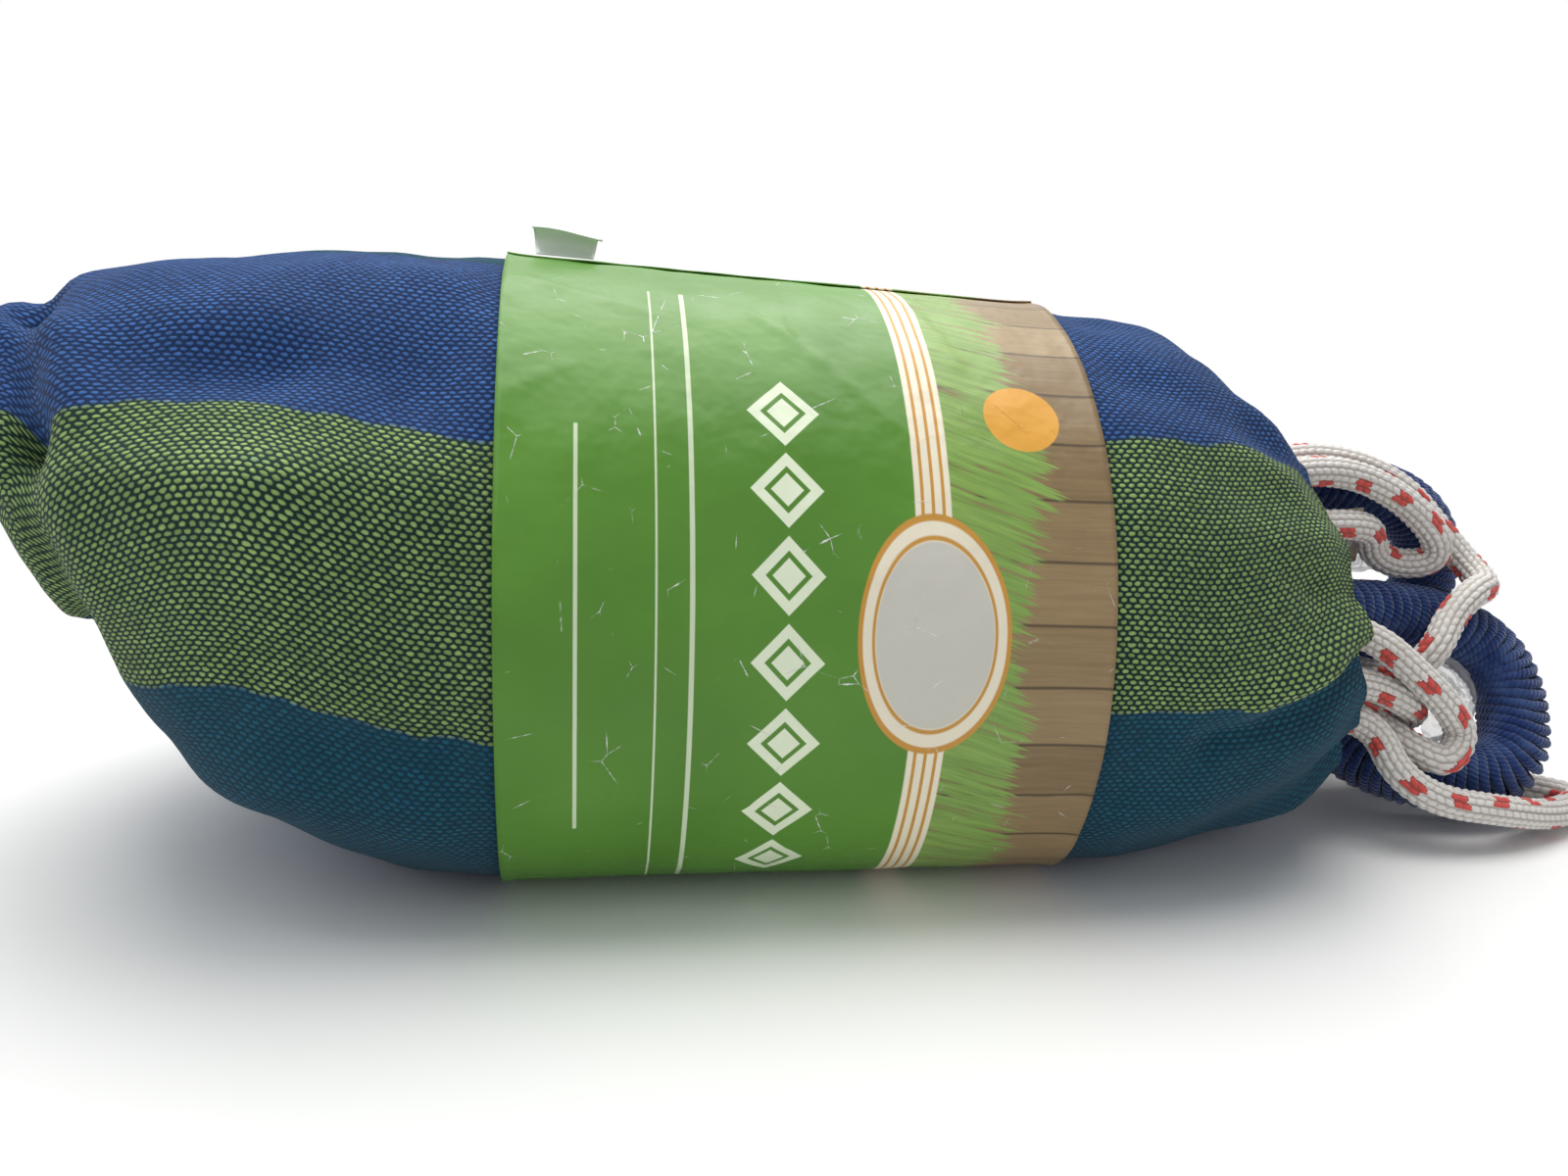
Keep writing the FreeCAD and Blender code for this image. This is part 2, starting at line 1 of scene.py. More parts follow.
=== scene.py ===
"""Striped cloth hammock packed in its carry bag, with a card sleeve, whipped eyes and hanging ropes.

Metres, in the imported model's frame: +X towards the bag's mouth, +Z up, the printed front towards -Y.
Routes and sections are written in millimetres and scaled by MM.
"""
import math

import bmesh
import bpy
from bpy.props import FloatProperty, FloatVectorProperty, IntProperty, PointerProperty
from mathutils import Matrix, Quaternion, Vector, noise


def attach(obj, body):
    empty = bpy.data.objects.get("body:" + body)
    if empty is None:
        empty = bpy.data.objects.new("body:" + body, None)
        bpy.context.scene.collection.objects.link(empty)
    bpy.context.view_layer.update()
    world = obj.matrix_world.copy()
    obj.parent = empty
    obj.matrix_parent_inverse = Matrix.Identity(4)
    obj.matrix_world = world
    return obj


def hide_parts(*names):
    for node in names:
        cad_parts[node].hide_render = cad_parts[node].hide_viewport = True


bl_info = {
    "name": "Packed hammock",
    "version": (1, 0, 0),
    "blender": (4, 5, 0),
    "location": "View3D > Sidebar > Hammock",
    "description": "Builds a striped cloth hammock packed in its carry bag",
    "category": "Add Mesh",
}

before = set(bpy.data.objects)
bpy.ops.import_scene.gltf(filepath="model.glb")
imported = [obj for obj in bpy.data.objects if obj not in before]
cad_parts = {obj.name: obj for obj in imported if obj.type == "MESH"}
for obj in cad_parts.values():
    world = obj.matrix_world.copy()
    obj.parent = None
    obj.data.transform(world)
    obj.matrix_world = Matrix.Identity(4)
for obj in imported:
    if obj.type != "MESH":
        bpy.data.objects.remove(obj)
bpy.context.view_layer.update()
MM = 0.001
MILLIMETRES = (1000, 1000, 1000)


# Values

def tint(hex_code):
    """A linear colour from a six-digit screen colour."""
    channels = [int(hex_code[k:k + 2], 16) / 255 for k in (0, 2, 4)]
    return tuple(c / 12.92 if c <= 0.04045 else ((c + 0.055) / 1.055) ** 2.4 for c in channels)


def colour(label, hex_code):
    return FloatVectorProperty(name=label, description=f"Colour of the {label.lower()}", subtype="COLOR", size=3,
                               min=0, max=1, default=tint(hex_code))


def length(label, millimetres, description):
    return FloatProperty(name=label, description=description, default=millimetres * MM, min=0, unit="LENGTH",
                         precision=5)


class HammockCloth(bpy.types.PropertyGroup):
    """Sizes and colours of the striped cloth."""
    stripe: length("Stripe width", 60, "Width of one stripe")
    float_length: length("Float length", 1.95, "Length of one weft float")
    float_row: length("Row height", 1.15, "Distance between two rows of floats")
    thickness: length("Thickness", 0.9, "Thickness of the cloth")
    blue: colour("Blue stripe", "3d6cb0")
    blue_ground: colour("Ground of the blue stripe", "132a52")
    green: colour("Green stripe", "9dba70")
    green_ground: colour("Ground of the green stripe", "16302a")
    teal: colour("Teal stripe", "195d74")
    teal_ground: colour("Ground of the teal stripe", "093548")


class HammockRope(bpy.types.PropertyGroup):
    """Sizes and colours of the ropes and the whipped eyes."""
    diameter: length("Rope diameter", 8, "Diameter of the hanging rope")
    columns: IntProperty(name="Stitch columns", description="Stitches round the rope", default=12, min=4, max=32)
    stitch: length("Stitch length", 2.4, "Length of one stitch along the rope")
    cord: length("Whipping cord", 3.0, "Diameter of the cord wound round an eye")
    white: colour("Rope", "e9e6e2")
    fleck: colour("Fleck", "d8362f")
    whipping: colour("Whipping", "223c76")
    clew: colour("Clew cord", "274a8c")


class HammockCard(bpy.types.PropertyGroup):
    """Sizes and colours of the card sleeve."""
    thickness: length("Card thickness", 0.32, "Thickness of the card")
    leaf: colour("Panel green", "4c7f22")
    pale: colour("Pale print", "e6f0d4")
    cream: colour("Cream band", "efe6cf")
    ochre: colour("Ochre line", "c9923c")
    spot: colour("Spot", "e0a23c")
    inside: colour("Bare card", "eceeea")


# Mesh and material helpers

def wrapped_grid(mesh, across, along, place, joined=False):
    """Adds a grid of faces laid over a surface; place(u, v) gives a point, its map place and a marking value."""
    map_layer = mesh.loops.layers.uv.get("UVMap") or mesh.loops.layers.uv.new("UVMap")
    mark_layer = mesh.verts.layers.float.get("mark") or mesh.verts.layers.float.new("mark")
    made = bmesh.ops.create_grid(mesh, x_segments=across, y_segments=along, size=0.5)["verts"]
    spots = {}
    for vert in made:
        point, spot, mark = place(vert.co.x + 0.5, vert.co.y + 0.5)
        vert.co = point
        vert[mark_layer] = mark
        spots[vert] = spot
    for face in {face for vert in made for face in vert.link_faces}:
        face.smooth = True
        for loop in face.loops:
            loop[map_layer].uv = spots[loop.vert]
    if joined:
        bmesh.ops.remove_doubles(mesh, verts=made, dist=1e-6)
    return [vert for vert in made if vert.is_valid]


def close_ends(mesh):
    """Fills the open ends of tubes and turns every face outwards."""
    edges = [edge for edge in mesh.edges if edge.is_boundary]
    bmesh.ops.holes_fill(mesh, edges=edges, sides=0)
    bmesh.ops.recalc_face_normals(mesh, faces=mesh.faces)


def piece(name, mesh, paint, body="root", nodes=()):
    """Makes a named piece from a bmesh, with its material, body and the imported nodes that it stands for."""
    data = bpy.data.meshes.new(name)
    mesh.to_mesh(data)
    mesh.free()
    data.materials.append(paint)
    item = bpy.data.objects.new(name, data)
    bpy.context.scene.collection.objects.link(item)
    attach(item, body)
    if nodes:
        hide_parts(*nodes)
    return item


def thicken(item, name, thickness, offset=-1):
    wall = item.modifiers.new(name, "SOLIDIFY")
    wall.thickness = thickness
    wall.offset = offset


def path_length(path):
    return sum((b - a).length for a, b in zip(path, path[1:]))


class Paint:
    """A procedural material, built from short calls."""

    def __init__(self, name):
        self.material = bpy.data.materials.new(name)
        self.material.use_nodes = True
        self.nodes = self.material.node_tree.nodes
        self.links = self.material.node_tree.links
        self.shader = self.nodes["Principled BSDF"]

    def node(self, kind, inputs=None, **settings):
        made = self.nodes.new(kind)
        for name, value in settings.items():
            setattr(made, name, value)
        for name, value in (inputs or {}).items():
            self.put(made.inputs[name], value)
        return made

    def put(self, socket, value):
        if isinstance(value, bpy.types.NodeSocket):
            self.links.new(value, socket)
        elif socket.type == "RGBA":
            socket.default_value = (*value, 1.0)[:4]
        else:
            socket.default_value = value

    def finish(self, **inputs):
        """Sets the shader's sockets, written with underscores for spaces."""
        for name, value in inputs.items():
            self.put(self.shader.inputs[name.replace("_", " ")], value)
        return self.material

    def math(self, operation, first, second=0.0, third=0.0):
        return self.node("ShaderNodeMath", {0: first, 1: second, 2: third}, operation=operation).outputs[0]

    def step(self, value, low, high):
        """Rises smoothly from 0 to 1 as value goes from low to high."""
        return self.node("ShaderNodeMapRange", {"Value": value, "From Min": low, "From Max": high},
                         interpolation_type="SMOOTHSTEP").outputs["Result"]

    def within(self, value, low, high, soft):
        """1 between low and high, with soft edges, and 0 elsewhere."""
        return self.math("MULTIPLY", self.step(value, low - soft, low + soft),
                         self.step(value, high + soft, high - soft))

    def mix(self, share, first, second):
        """A colour between first and second; share 1 gives the second."""
        made = self.nodes.new("ShaderNodeMix")
        made.data_type = "RGBA"
        for socket, value in ((made.inputs[0], share), (made.inputs[6], first), (made.inputs[7], second)):
            self.put(socket, value)
        return made.outputs[2]

    def noise(self, vector, scale, detail=3.0, roughness=0.5):
        return self.node("ShaderNodeTexNoise", {"Vector": vector, "Scale": scale, "Detail": detail,
                                                "Roughness": roughness}).outputs["Fac"]

    def stretch(self, vector, factors):
        return self.node("ShaderNodeVectorMath", {0: vector, 1: factors}, operation="MULTIPLY").outputs[0]

    def whole_and_rest(self, value):
        """A value's whole part, and what is left of it."""
        whole = self.math("FLOOR", value)
        return whole, self.math("SUBTRACT", value, whole)

    def distance(self, first, second):
        """How far a place lies from the middle, from its two offsets."""
        return self.math("SQRT", self.math("ADD", self.math("MULTIPLY", first, first),
                                           self.math("MULTIPLY", second, second)))

    def creases(self, vector, scale):
        """Distance from the nearest of a net of straight creases."""
        return self.node("ShaderNodeTexVoronoi", {"Vector": vector, "Scale": scale},
                         feature="DISTANCE_TO_EDGE").outputs["Distance"]

    def mark(self):
        """The marking value that wrapped_grid left on the mesh."""
        return self.node("ShaderNodeAttribute", attribute_name="mark").outputs["Fac"]

    def chart(self):
        """The piece's own map in millimetres, and its two coordinates."""
        scaled = self.stretch(self.node("ShaderNodeUVMap", uv_map="UVMap").outputs["UV"], MILLIMETRES)
        split = self.node("ShaderNodeSeparateXYZ", {0: scaled})
        return scaled, split.outputs[0], split.outputs[1]

    def space(self):
        """Object coordinates in millimetres."""
        return self.stretch(self.node("ShaderNodeTexCoord").outputs["Object"], MILLIMETRES)

    def vector(self, x=0.0, y=0.0, z=0.0):
        return self.node("ShaderNodeCombineXYZ", {0: x, 1: y, 2: z}).outputs[0]

    def bump(self, height, distance, strength=1.0, normal=None):
        inputs = {"Height": height, "Distance": distance, "Strength": strength}
        if normal is not None:
            inputs["Normal"] = normal
        return self.node("ShaderNodeBump", inputs).outputs["Normal"]


# The bag's surface: stations from tail to mouth, each bottom x and z, top x and z, half depth, half flat, yaw

SLEEVE_START, SLEEVE_WIDTH = -79.5, 125.5
CROWN, HALF_DEPTH, HALF_FLAT, CROWN_FALL, DEPTH_FALL = 136, 76, 30, 7.0, 3.0


def belly(x):
    """The station at x under the sleeve, where height and depth fall evenly towards the mouth."""
    share = (x - SLEEVE_START) / SLEEVE_WIDTH
    return (x, 0.8, x, CROWN - CROWN_FALL * share, HALF_DEPTH - DEPTH_FALL * share, HALF_FLAT, 0)


STATIONS = [
    (-190, 88, -194, 109, 10, 4, 0), (-181, 70, -188, 121.5, 34, 10, 0), (-158, 42, -165, 131, 57.5, 19, 0),
    (-128, 15, -130, 135, 73, 25, 0), (-106, 4, -106, 136.2, 75.6, 28, 0), belly(-88), belly(-82), belly(48.5),
    belly(54.5), (74, 1.8, 71, 126.5, 70, 26, 0), (106, 6, 93, 114, 57, 18, 4), (121, 13, 103, 102, 46, 8, 8),
]
KNOTS = [(s[0] + s[2]) / 2 for s in STATIONS]


def slopes(column):
    """Slopes at the stations that keep a curve through them free of overshoot."""
    steps = [(column[k + 1] - column[k]) / (KNOTS[k + 1] - KNOTS[k]) for k in range(len(KNOTS) - 1)]
    inner = [0 if a * b <= 0 else 2 * a * b / (a + b) for a, b in zip(steps, steps[1:])]
    return [steps[0], *inner, steps[-1]]


COLUMNS = list(zip(*STATIONS))
SLOPES = [slopes(column) for column in COLUMNS]


def station_at(x):
    """The bag's section whose middle lies at x."""
    k = max(0, min(len(KNOTS) - 2, sum(knot <= x for knot in KNOTS) - 1))
    span = KNOTS[k + 1] - KNOTS[k]
    t = (x - KNOTS[k]) / span
    blend = (2 * t ** 3 - 3 * t ** 2 + 1, t ** 3 - 2 * t ** 2 + t, 3 * t ** 2 - 2 * t ** 3, t ** 3 - t ** 2)
    return tuple(blend[0] * c[k] + blend[1] * span * m[k] + blend[2] * c[k + 1] + blend[3] * span * m[k + 1]
                 for c, m in zip(COLUMNS, SLOPES))


def outline_arcs(station):
    """A section's height, its half flat, and its three arcs' radii on each side."""
    low_x, low_z, high_x, high_z, half, flat, _ = station
    tall = math.hypot(high_x - low_x, high_z - low_z)
    sine = math.sin(math.pi / 3)
    sides = tall - flat / (2 * sine)
    lower = (half - flat - sides * (1 - sine)) / (2 * sine - 1)
    return tall, flat, (lower, sides - lower, lower + flat / sine)


def half_girth(station):
    _, flat, radii = outline_arcs(station)
    return flat + sum(radii) * math.pi / 3


def section_point(station, reach, out=0.0):
    """A point on a section, reach from its crown along the outline (front positive), moved outwards by out."""
    low_x, low_z, high_x, high_z, _, _, yaw = station
    tall, flat, radii = outline_arcs(station)
    left = half_girth(station) - abs(reach)
    side = -1 if reach > 0 else 1
    if left < flat:
        y, q, angle = left, 0.0, 0.0
    else:
        left -= flat
        y, q, angle = flat, 0.0, 0.0
        for radius in radii:
            turn = min(left / radius, math.pi / 3)
            y += radius * (math.sin(angle + turn) - math.sin(angle))
            q += radius * (math.cos(angle) - math.cos(angle + turn))
            angle += turn
            left -= radius * turn
            if left <= 0:
                break
    y += out * math.sin(angle)
    q -= out * math.cos(angle)
    up = Vector((high_x - low_x, 0, high_z - low_z)) / tall
    swing = math.radians(yaw)
    across = Vector((-math.sin(swing), math.cos(swing), 0))
    return Vector((low_x, 0, low_z)) + across * (side * y) + up * q


# Folds and creases: start and end as (x, reach from the crown), half width, height

FOLDS = [
    ((-178, -30), (-174, 15), 5.0, -4.0), ((-174, 15), (-168, 60), 5.5, -6.5), ((-168, 60), (-166, 118), 5.0, -6.5),
    ((-166, 118), (-158, 150), 4.5, -4.0), ((-184, 16), (-168, 34), 5.5, 4.0), ((-163, 40), (-158, 60), 6.0, 3.0),
    ((-164, 74), (-120, 84), 9.0, 5.0), ((-120, 84), (-88, 84), 10.0, 3.8), ((-160, 106), (-118, 116), 11.0, -2.6),
    ((-146, 50), (-124, 54), 10.0, -3.6), ((-130, 50), (-96, 58), 10.0, -3.0), ((-150, 18), (-92, 26), 10.0, 1.8),
    ((-130, 130), (-90, 134), 9.0, -1.8), ((-140, 146), (-92, 152), 9.0, 1.8),
    ((52, 40), (88, 46), 8.0, -1.4), ((52, 58), (96, 60), 7.0, 1.6), ((60, 84), (104, 84), 9.0, 1.2),
    ((56, 108), (98, 114), 8.0, 1.8), ((72, 128), (110, 116), 4.0, -3.2), ((82, 120), (108, 106), 6.0, 2.6),
    ((96, 92), (112, 94), 3.5, -2.4), ((56, 150), (92, 142), 8.0, 1.6), ((60, 12), (96, 14), 9.0, -1.5),
    ((-170, -70), (-96, -60), 9.0, -2.2), ((-160, -96), (-90, -92), 9.0, 2.4), ((-150, -130), (-92, -136), 10.0, -2.0),
    ((54, -50), (104, -44), 8.0, -2.0), ((54, -86), (106, -78), 8.0, 2.2), ((60, -120), (104, -106), 8.0, -2.0),
    ((-186, -60), (-176, -90), 5.0, -4.0), ((-176, -90), (-164, -130), 5.0, -4.0),
]


def crease_distance(x, reach, start, end):
    """Distance of a place from a straight crease, both as (x, reach)."""
    dx, dr = end[0] - start[0], end[1] - start[1]
    t = max(0.0, min(1.0, ((x - start[0]) * dx + (reach - start[1]) * dr) / (dx * dx + dr * dr)))
    return math.hypot(x - start[0] - dx * t, reach - start[1] - dr * t)


def fold_lift(x, reach):
    """How far the folds push the cloth in or out at a place on the bag."""
    total = 0.0
    for start, end, width, height in FOLDS:
        away = crease_distance(x, reach, start, end) / width
        if away < 3:
            total += height * math.exp(-away * away)
    return total


def ease(value, low, high):
    t = max(0.0, min(1.0, (value - low) / (high - low)))
    return t * t * (3 - 2 * t)


def cloth_lift(x, reach):
    """The whole displacement of the bag's cloth, held flat under the sleeve and gathered at the mouth."""
    spot = Vector((x, reach, 0))
    lumps = 2.0 * noise.noise(spot / 34) + 0.8 * noise.noise(spot / 13 + Vector((7, 3, 5)))
    gathers = ease(x, 66, 112) * (1.5 * math.sin(reach / 5.2 + 1.4 * noise.noise(spot / 20))
                                  + 0.7 * math.sin(reach / 2.9 + 2.2 * noise.noise(spot / 15)))
    free = max(ease(x, SLEEVE_START + 2, SLEEVE_START - 10),
               ease(x, SLEEVE_START + SLEEVE_WIDTH - 2, SLEEVE_START + SLEEVE_WIDTH + 10))
    return free * (lumps + gathers + fold_lift(x, reach))


def bag_mesh(around, along, hem=3.0, lining=24.0):
    """The bag's skin: a sewn tail, an even body, a hem turned in at the mouth and a lining behind it."""
    belly_girth = half_girth(belly(0))
    turn_share, lining_share, cap_share = 0.03, 0.1, 0.05
    body_share = 1 - turn_share - lining_share - cap_share
    cap_gather, cap_depth = 12, 1.5
    first, last = KNOTS[0], KNOTS[-1]

    def place(u, v):
        side = 1 - 2 * u
        if v < cap_share:
            station = station_at(first)
            share = v / cap_share
            reach = side * half_girth(station)
            point = section_point(station, reach)
            point.y *= share ** 0.6
            point.x -= cap_depth * (1 - share ** 2)
            return point * MM, ((first - cap_gather * (1 - share)) * MM, reach * MM), 0.0
        t = (v - cap_share) / body_share
        x = first + (last - first) * min(t, 1)
        inset, lead, run = 0.0, 0.0, x
        if t > 1:
            past = (v - cap_share - body_share) / turn_share
            bend = min(past, 1) * math.pi
            inset = hem / 2 * (1 - math.cos(bend))
            lead = hem / 2 * math.sin(bend)
            run = last + hem / 2 * bend
            if past > 1:
                back = (past - 1) * turn_share / lining_share * lining
                x = last - back
                run += back
        station = station_at(x)
        girth = half_girth(station)
        reach = side * girth
        even = side * belly_girth if x > 20 else reach
        gathered = reach + (even - reach) * ease(x, 40, 110)
        # the stripes drift round the bag along its length, as the cloth is wrapped askew
        chart = gathered + 13 * ease(x, -84, -140) + 14 * ease(x, -165, -176) + 13 * ease(x, -60, 40)
        chart += 10 * ease(x, 66, 112) * ease(chart, 150, 90) * ease(chart, 0, 50)
        lift = cloth_lift(x, gathered)
        point = section_point(station, reach, lift - inset) + Vector((lead, 0, 0))
        return point * MM, (run * MM, chart * MM), 1.0 if t > 1 else 0.0

    mesh = bmesh.new()
    wrapped_grid(mesh, around, along, place, joined=True)
    tail_seam = [vert for vert in mesh.verts if abs(vert.co.y) < 1e-7 and vert.co.x < -0.19]
    bmesh.ops.remove_doubles(mesh, verts=tail_seam, dist=1e-6)
    bmesh.ops.recalc_face_normals(mesh, faces=mesh.faces)
    return mesh


def striped_cloth(name, cloth):
    """Plain-woven cotton: light weft floats in brick order on a dark ground, in blue, green and teal stripes."""
    paint = Paint(name)
    place, _, across = paint.chart()
    wobble = paint.node("ShaderNodeTexNoise", {"Vector": place, "Scale": 0.5, "Detail": 2.0}).outputs["Color"]
    shift = paint.node("ShaderNodeVectorMath", {0: wobble, 1: (0.5, 0.5, 0.5)}, operation="SUBTRACT").outputs[0]
    place = paint.node("ShaderNodeVectorMath", {0: shift, 1: (0.9, 0.7, 0.0), 2: place},
                       operation="MULTIPLY_ADD").outputs[0]
    split = paint.node("ShaderNodeSeparateXYZ", {0: place})
    row = paint.math("DIVIDE", split.outputs[1], cloth.float_row / MM)
    row_id, row_at = paint.whole_and_rest(row)
    column = paint.math("MULTIPLY_ADD", row_id, 0.5,
                        paint.math("DIVIDE", split.outputs[0], cloth.float_length / MM))
    column_id, column_at = paint.whole_and_rest(column)
    float_tone = paint.node("ShaderNodeTexWhiteNoise", {"Vector": paint.vector(column_id, row_id)},
                            noise_dimensions="2D").outputs["Value"]
    halves = []
    for at, factor in ((column_at, 2.2), (row_at, 2.0)):
        offset = paint.math("MULTIPLY", paint.math("SUBTRACT", at, 0.5), factor)
        halves.append(paint.math("POWER", paint.math("ABSOLUTE", offset), factor))
    away = paint.math("ADD", *halves)
    ragged = paint.math("MULTIPLY_ADD", paint.noise(place, 0.8, 2.0), 0.8, away)
    cover = paint.step(ragged, 1.25, 0.55)
    thread = paint.noise(paint.stretch(place, (0.5, 3.2, 1.0)), 1.0, 2.0)
    edge = paint.math("MULTIPLY_ADD", paint.noise(place, 0.09, 2.0), 5.0, across)
    stripe_mm = cloth.stripe / MM
    first_stripe = 15.5
    band = paint.math("FLOORED_MODULO", paint.math("DIVIDE", paint.math("SUBTRACT", edge, first_stripe), stripe_mm),
                      3.0)
    is_green = paint.within(band, 1.0, 2.0, 0.012)
    is_teal = paint.step(band, 1.99, 2.01)
    worn = paint.step(paint.noise(place, 0.035, 3.0), 0.35, 0.7)
    slub = paint.step(paint.noise(paint.stretch(place, (0.16, 0.6, 1.0)), 1.0, 2.0), 0.56, 0.75)
    light = paint.mix(is_teal, paint.mix(is_green, cloth.blue, cloth.green), cloth.teal)
    slub_tone = paint.mix(is_green, tint("2b528f"), tint("5a8a84"))
    light = paint.mix(paint.math("MULTIPLY", slub, 0.42), light, slub_tone)
    ground = paint.mix(is_teal, paint.mix(is_green, cloth.blue_ground, cloth.green_ground), cloth.teal_ground)
    shade = paint.math("MULTIPLY", paint.math("MULTIPLY_ADD", float_tone, 0.35, 0.65),
                       paint.math("MULTIPLY_ADD", thread, 0.5, 0.74))
    shade = paint.math("MULTIPLY", shade, paint.math("MULTIPLY_ADD", worn, 0.22, 0.86))
    tone = paint.mix(shade, (0.0, 0.0, 0.0), light)
    weave = paint.mix(cover, ground, tone)
    relief = paint.math("MULTIPLY_ADD", thread, 0.25, paint.step(ragged, 1.35, 0.1))
    fuzz = paint.noise(place, 4.0, 3.0, 0.7)
    normal = paint.bump(paint.math("MULTIPLY_ADD", fuzz, 0.3, relief), 0.45 * MM, 0.9)
    return paint.finish(Base_Color=weave, Roughness=0.92, Specular_IOR_Level=0.2, Sheen_Weight=0.06,
                        Sheen_Roughness=0.5, Normal=normal)


# Ropes and cords

ROPE_ROUTES = {
    "rope_upper_outer": [
        (102, 7, 90), (115, 7, 90), (129, 9, 92.5), (144, 8.6, 90.5), (158, 7.9, 84), (168, 6.8, 74), (176, 3, 65),
        (177.5, -6, 60.5), (170, -11, 60.5), (162.5, -14, 55), (157, -18.5, 47), (152, -15.5, 39.5),
        (148, -4, 35), (139, 6, 38), (126, 9.5, 40), (114, 12, 41), (102, 12, 41)],
    "rope_upper_curl": [
        (102, -3, 89), (114, -3, 89), (128, -0.5, 90.5), (141, 0, 88.5), (154, -0.5, 82), (164, -1.5, 73),
        (165, 0, 66), (156, 3.5, 64), (148, 3.5, 68), (145, 0, 75), (134, -4, 77), (114, -5, 75.5), (102, -5, 75.5)],
    "rope_front_loop": [
        (102, -23, 54), (114, -23, 54), (123, -23.5, 55), (135, -25, 52.5), (145, -30, 44), (154, -31, 36),
        (159.5, -31, 28.5), (154, -35, 22), (147.5, -31, 24), (139, -21, 29), (126, -17.5, 36), (114, -22, 41),
        (102, -22, 41)],
    "rope_front_inner": [
        (102, -34, 44), (113, -34, 44), (123, -29.5, 42.5), (134, -26, 40.5), (143, -27, 36.9),
        (151.5, -22.5, 31.4), (153, -11, 25), (146, -1, 25.5), (134, 7, 29), (123, 11.5, 28.5), (113, 12, 26.5),
        (102, 12, 26.5)],
    "rope_floor_bight": [
        (102, -30, 33), (114, -30, 33), (128, -27.5, 33), (136.5, -30, 29), (139, -36, 20.5), (149, -39.5, 14),
        (167, -39.5, 11), (185, -33.5, 6.5), (198, -26.5, 5), (205, -20.5, 5), (197, -13.5, 5), (180, -4, 5),
        (162, 3, 6), (148, 9, 14), (136, 14, 23), (124, 20, 28), (113, 22, 28), (102, 22, 28)],
}
EYE_LEAN = math.radians(35)


def eye_point(along, rise):
    """A point in the plane of the front eye, which leans back."""
    return (173 + along, -28 + rise * math.sin(EYE_LEAN), 9 + rise * math.cos(EYE_LEAN))


EYE_ROUTES = {
    "front": [(66, -4, 54), (106, -4, 54), eye_point(12, 50), eye_point(12, 4), (148, -17.5, 12.3), (130, -6, 26),
              (108, -8, 32), (66, -8, 32)],
    "rear": [(66, 22, 84), (106, 22, 84), (177, 21.5, 81), (177, 21.5, 36), (136, 22, 38), (121, 23, 49),
             (106, 22, 61.6), (66, 22, 61.6)],
}


def route_line(route, spacing):
    """Evenly spaced points along the smooth line of a route in millimetres, read from its own spline."""
    curve = bpy.data.curves.new("route", "CURVE")
    curve.dimensions = "3D"
    curve.resolution_u = 32
    spline = curve.splines.new("NURBS")
    spline.points.add(len(route) - 1)
    for point, spot in zip(spline.points, route):
        point.co = (*(Vector(spot) * MM), 1.0)
    spline.order_u = 3
    spline.use_endpoint_u = True
    holder = bpy.data.objects.new("route", curve)
    bpy.context.scene.collection.objects.link(holder)
    bpy.context.view_layer.update()
    graph = bpy.context.evaluated_depsgraph_get()
    mesh = bpy.data.meshes.new_from_object(holder.evaluated_get(graph))
    dense = [vert.co.copy() for vert in mesh.vertices]
    bpy.data.meshes.remove(mesh)
    bpy.data.objects.remove(holder)
    bpy.data.curves.remove(curve)
    reach = [0.0]
    for a, b in zip(dense, dense[1:]):
        reach.append(reach[-1] + (b - a).length)
    count = max(4, round(reach[-1] / spacing))
    line, at = [], 0
    for k in range(count + 1):
        target = reach[-1] * k / count
        while at < len(dense) - 2 and reach[at + 1] < target:
            at += 1
        share = (target - reach[at]) / max(reach[at + 1] - reach[at], 1e-12)
        line.append(dense[at].lerp(dense[at + 1], min(max(share, 0), 1)))
    return line, reach[-1]


def carried_frames(line):
    """A point, a side and another side at each place of a line, carried along without twist."""
    side = None
    frames = []
    for k, point in enumerate(line):
        tangent = (line[min(k + 1, len(line) - 1)] - line[max(k - 1, 0)]).normalized()
        if side is None:
            side = tangent.cross(Vector((0, 1, 0.05))).normalized()
        side = (side - tangent * side.dot(tangent)).normalized()
        frames.append((point, side, tangent.cross(side)))
    return frames


def add_tube(mesh, line, sides, surface, total):
    """Adds a tube round a line; surface(turn, reach) gives its radius in metres and its mark."""
    frames = carried_frames(line)
    steps = len(line) - 1
    girth = 2 * math.pi * surface(0.0, 0.0)[0]

    def place(u, v):
        point, side, other = frames[round(v * steps)]
        reach = v * total
        radius, mark = surface(u, reach)
        angle = 2 * math.pi * u
        out = side * math.cos(angle) + other * math.sin(angle)
        return point + out * radius, (reach, u * girth), mark

    return wrapped_grid(mesh, sides, steps, place, joined=True)


def braid(rope):
    """The braided surface of a rope: slanted stitches in columns, a few pairs of them red."""
    columns, stitch, radius = rope.columns, rope.stitch, rope.diameter / 2

    def surface(turn, reach):
        place = turn * columns
        column = int(place) % columns
        across = place - int(place) - 0.5
        lean = 0.42 if column % 2 else -0.42
        row_place = reach / stitch + 0.5 * (column % 2) + lean * across
        row = math.floor(row_place)
        along = row_place - row - 0.5
        dome = math.sqrt(max(math.cos(math.pi * across) * math.cos(math.pi * along), 0))
        turns, part = divmod(row, 5)
        red = part in (0, 1) and (column - 5 * turns) % (columns // 2) in (0, 1)
        # The mark carries the stitch's dome too, which the rope's paint turns into painted shade between stitches.
        return radius - 0.6 * MM + 0.7 * MM * dome, 0.3 * dome + (0.7 if red else 0)

    return surface


def plies(radius, count, twist, depth):
    """The surface of a laid cord: plies twisted round each other."""
    def surface(turn, reach):
        ridge = abs(math.sin(math.pi * (turn * count - reach / twist)))
        return radius * (1 - depth + depth * ridge), 0.0

    return surface


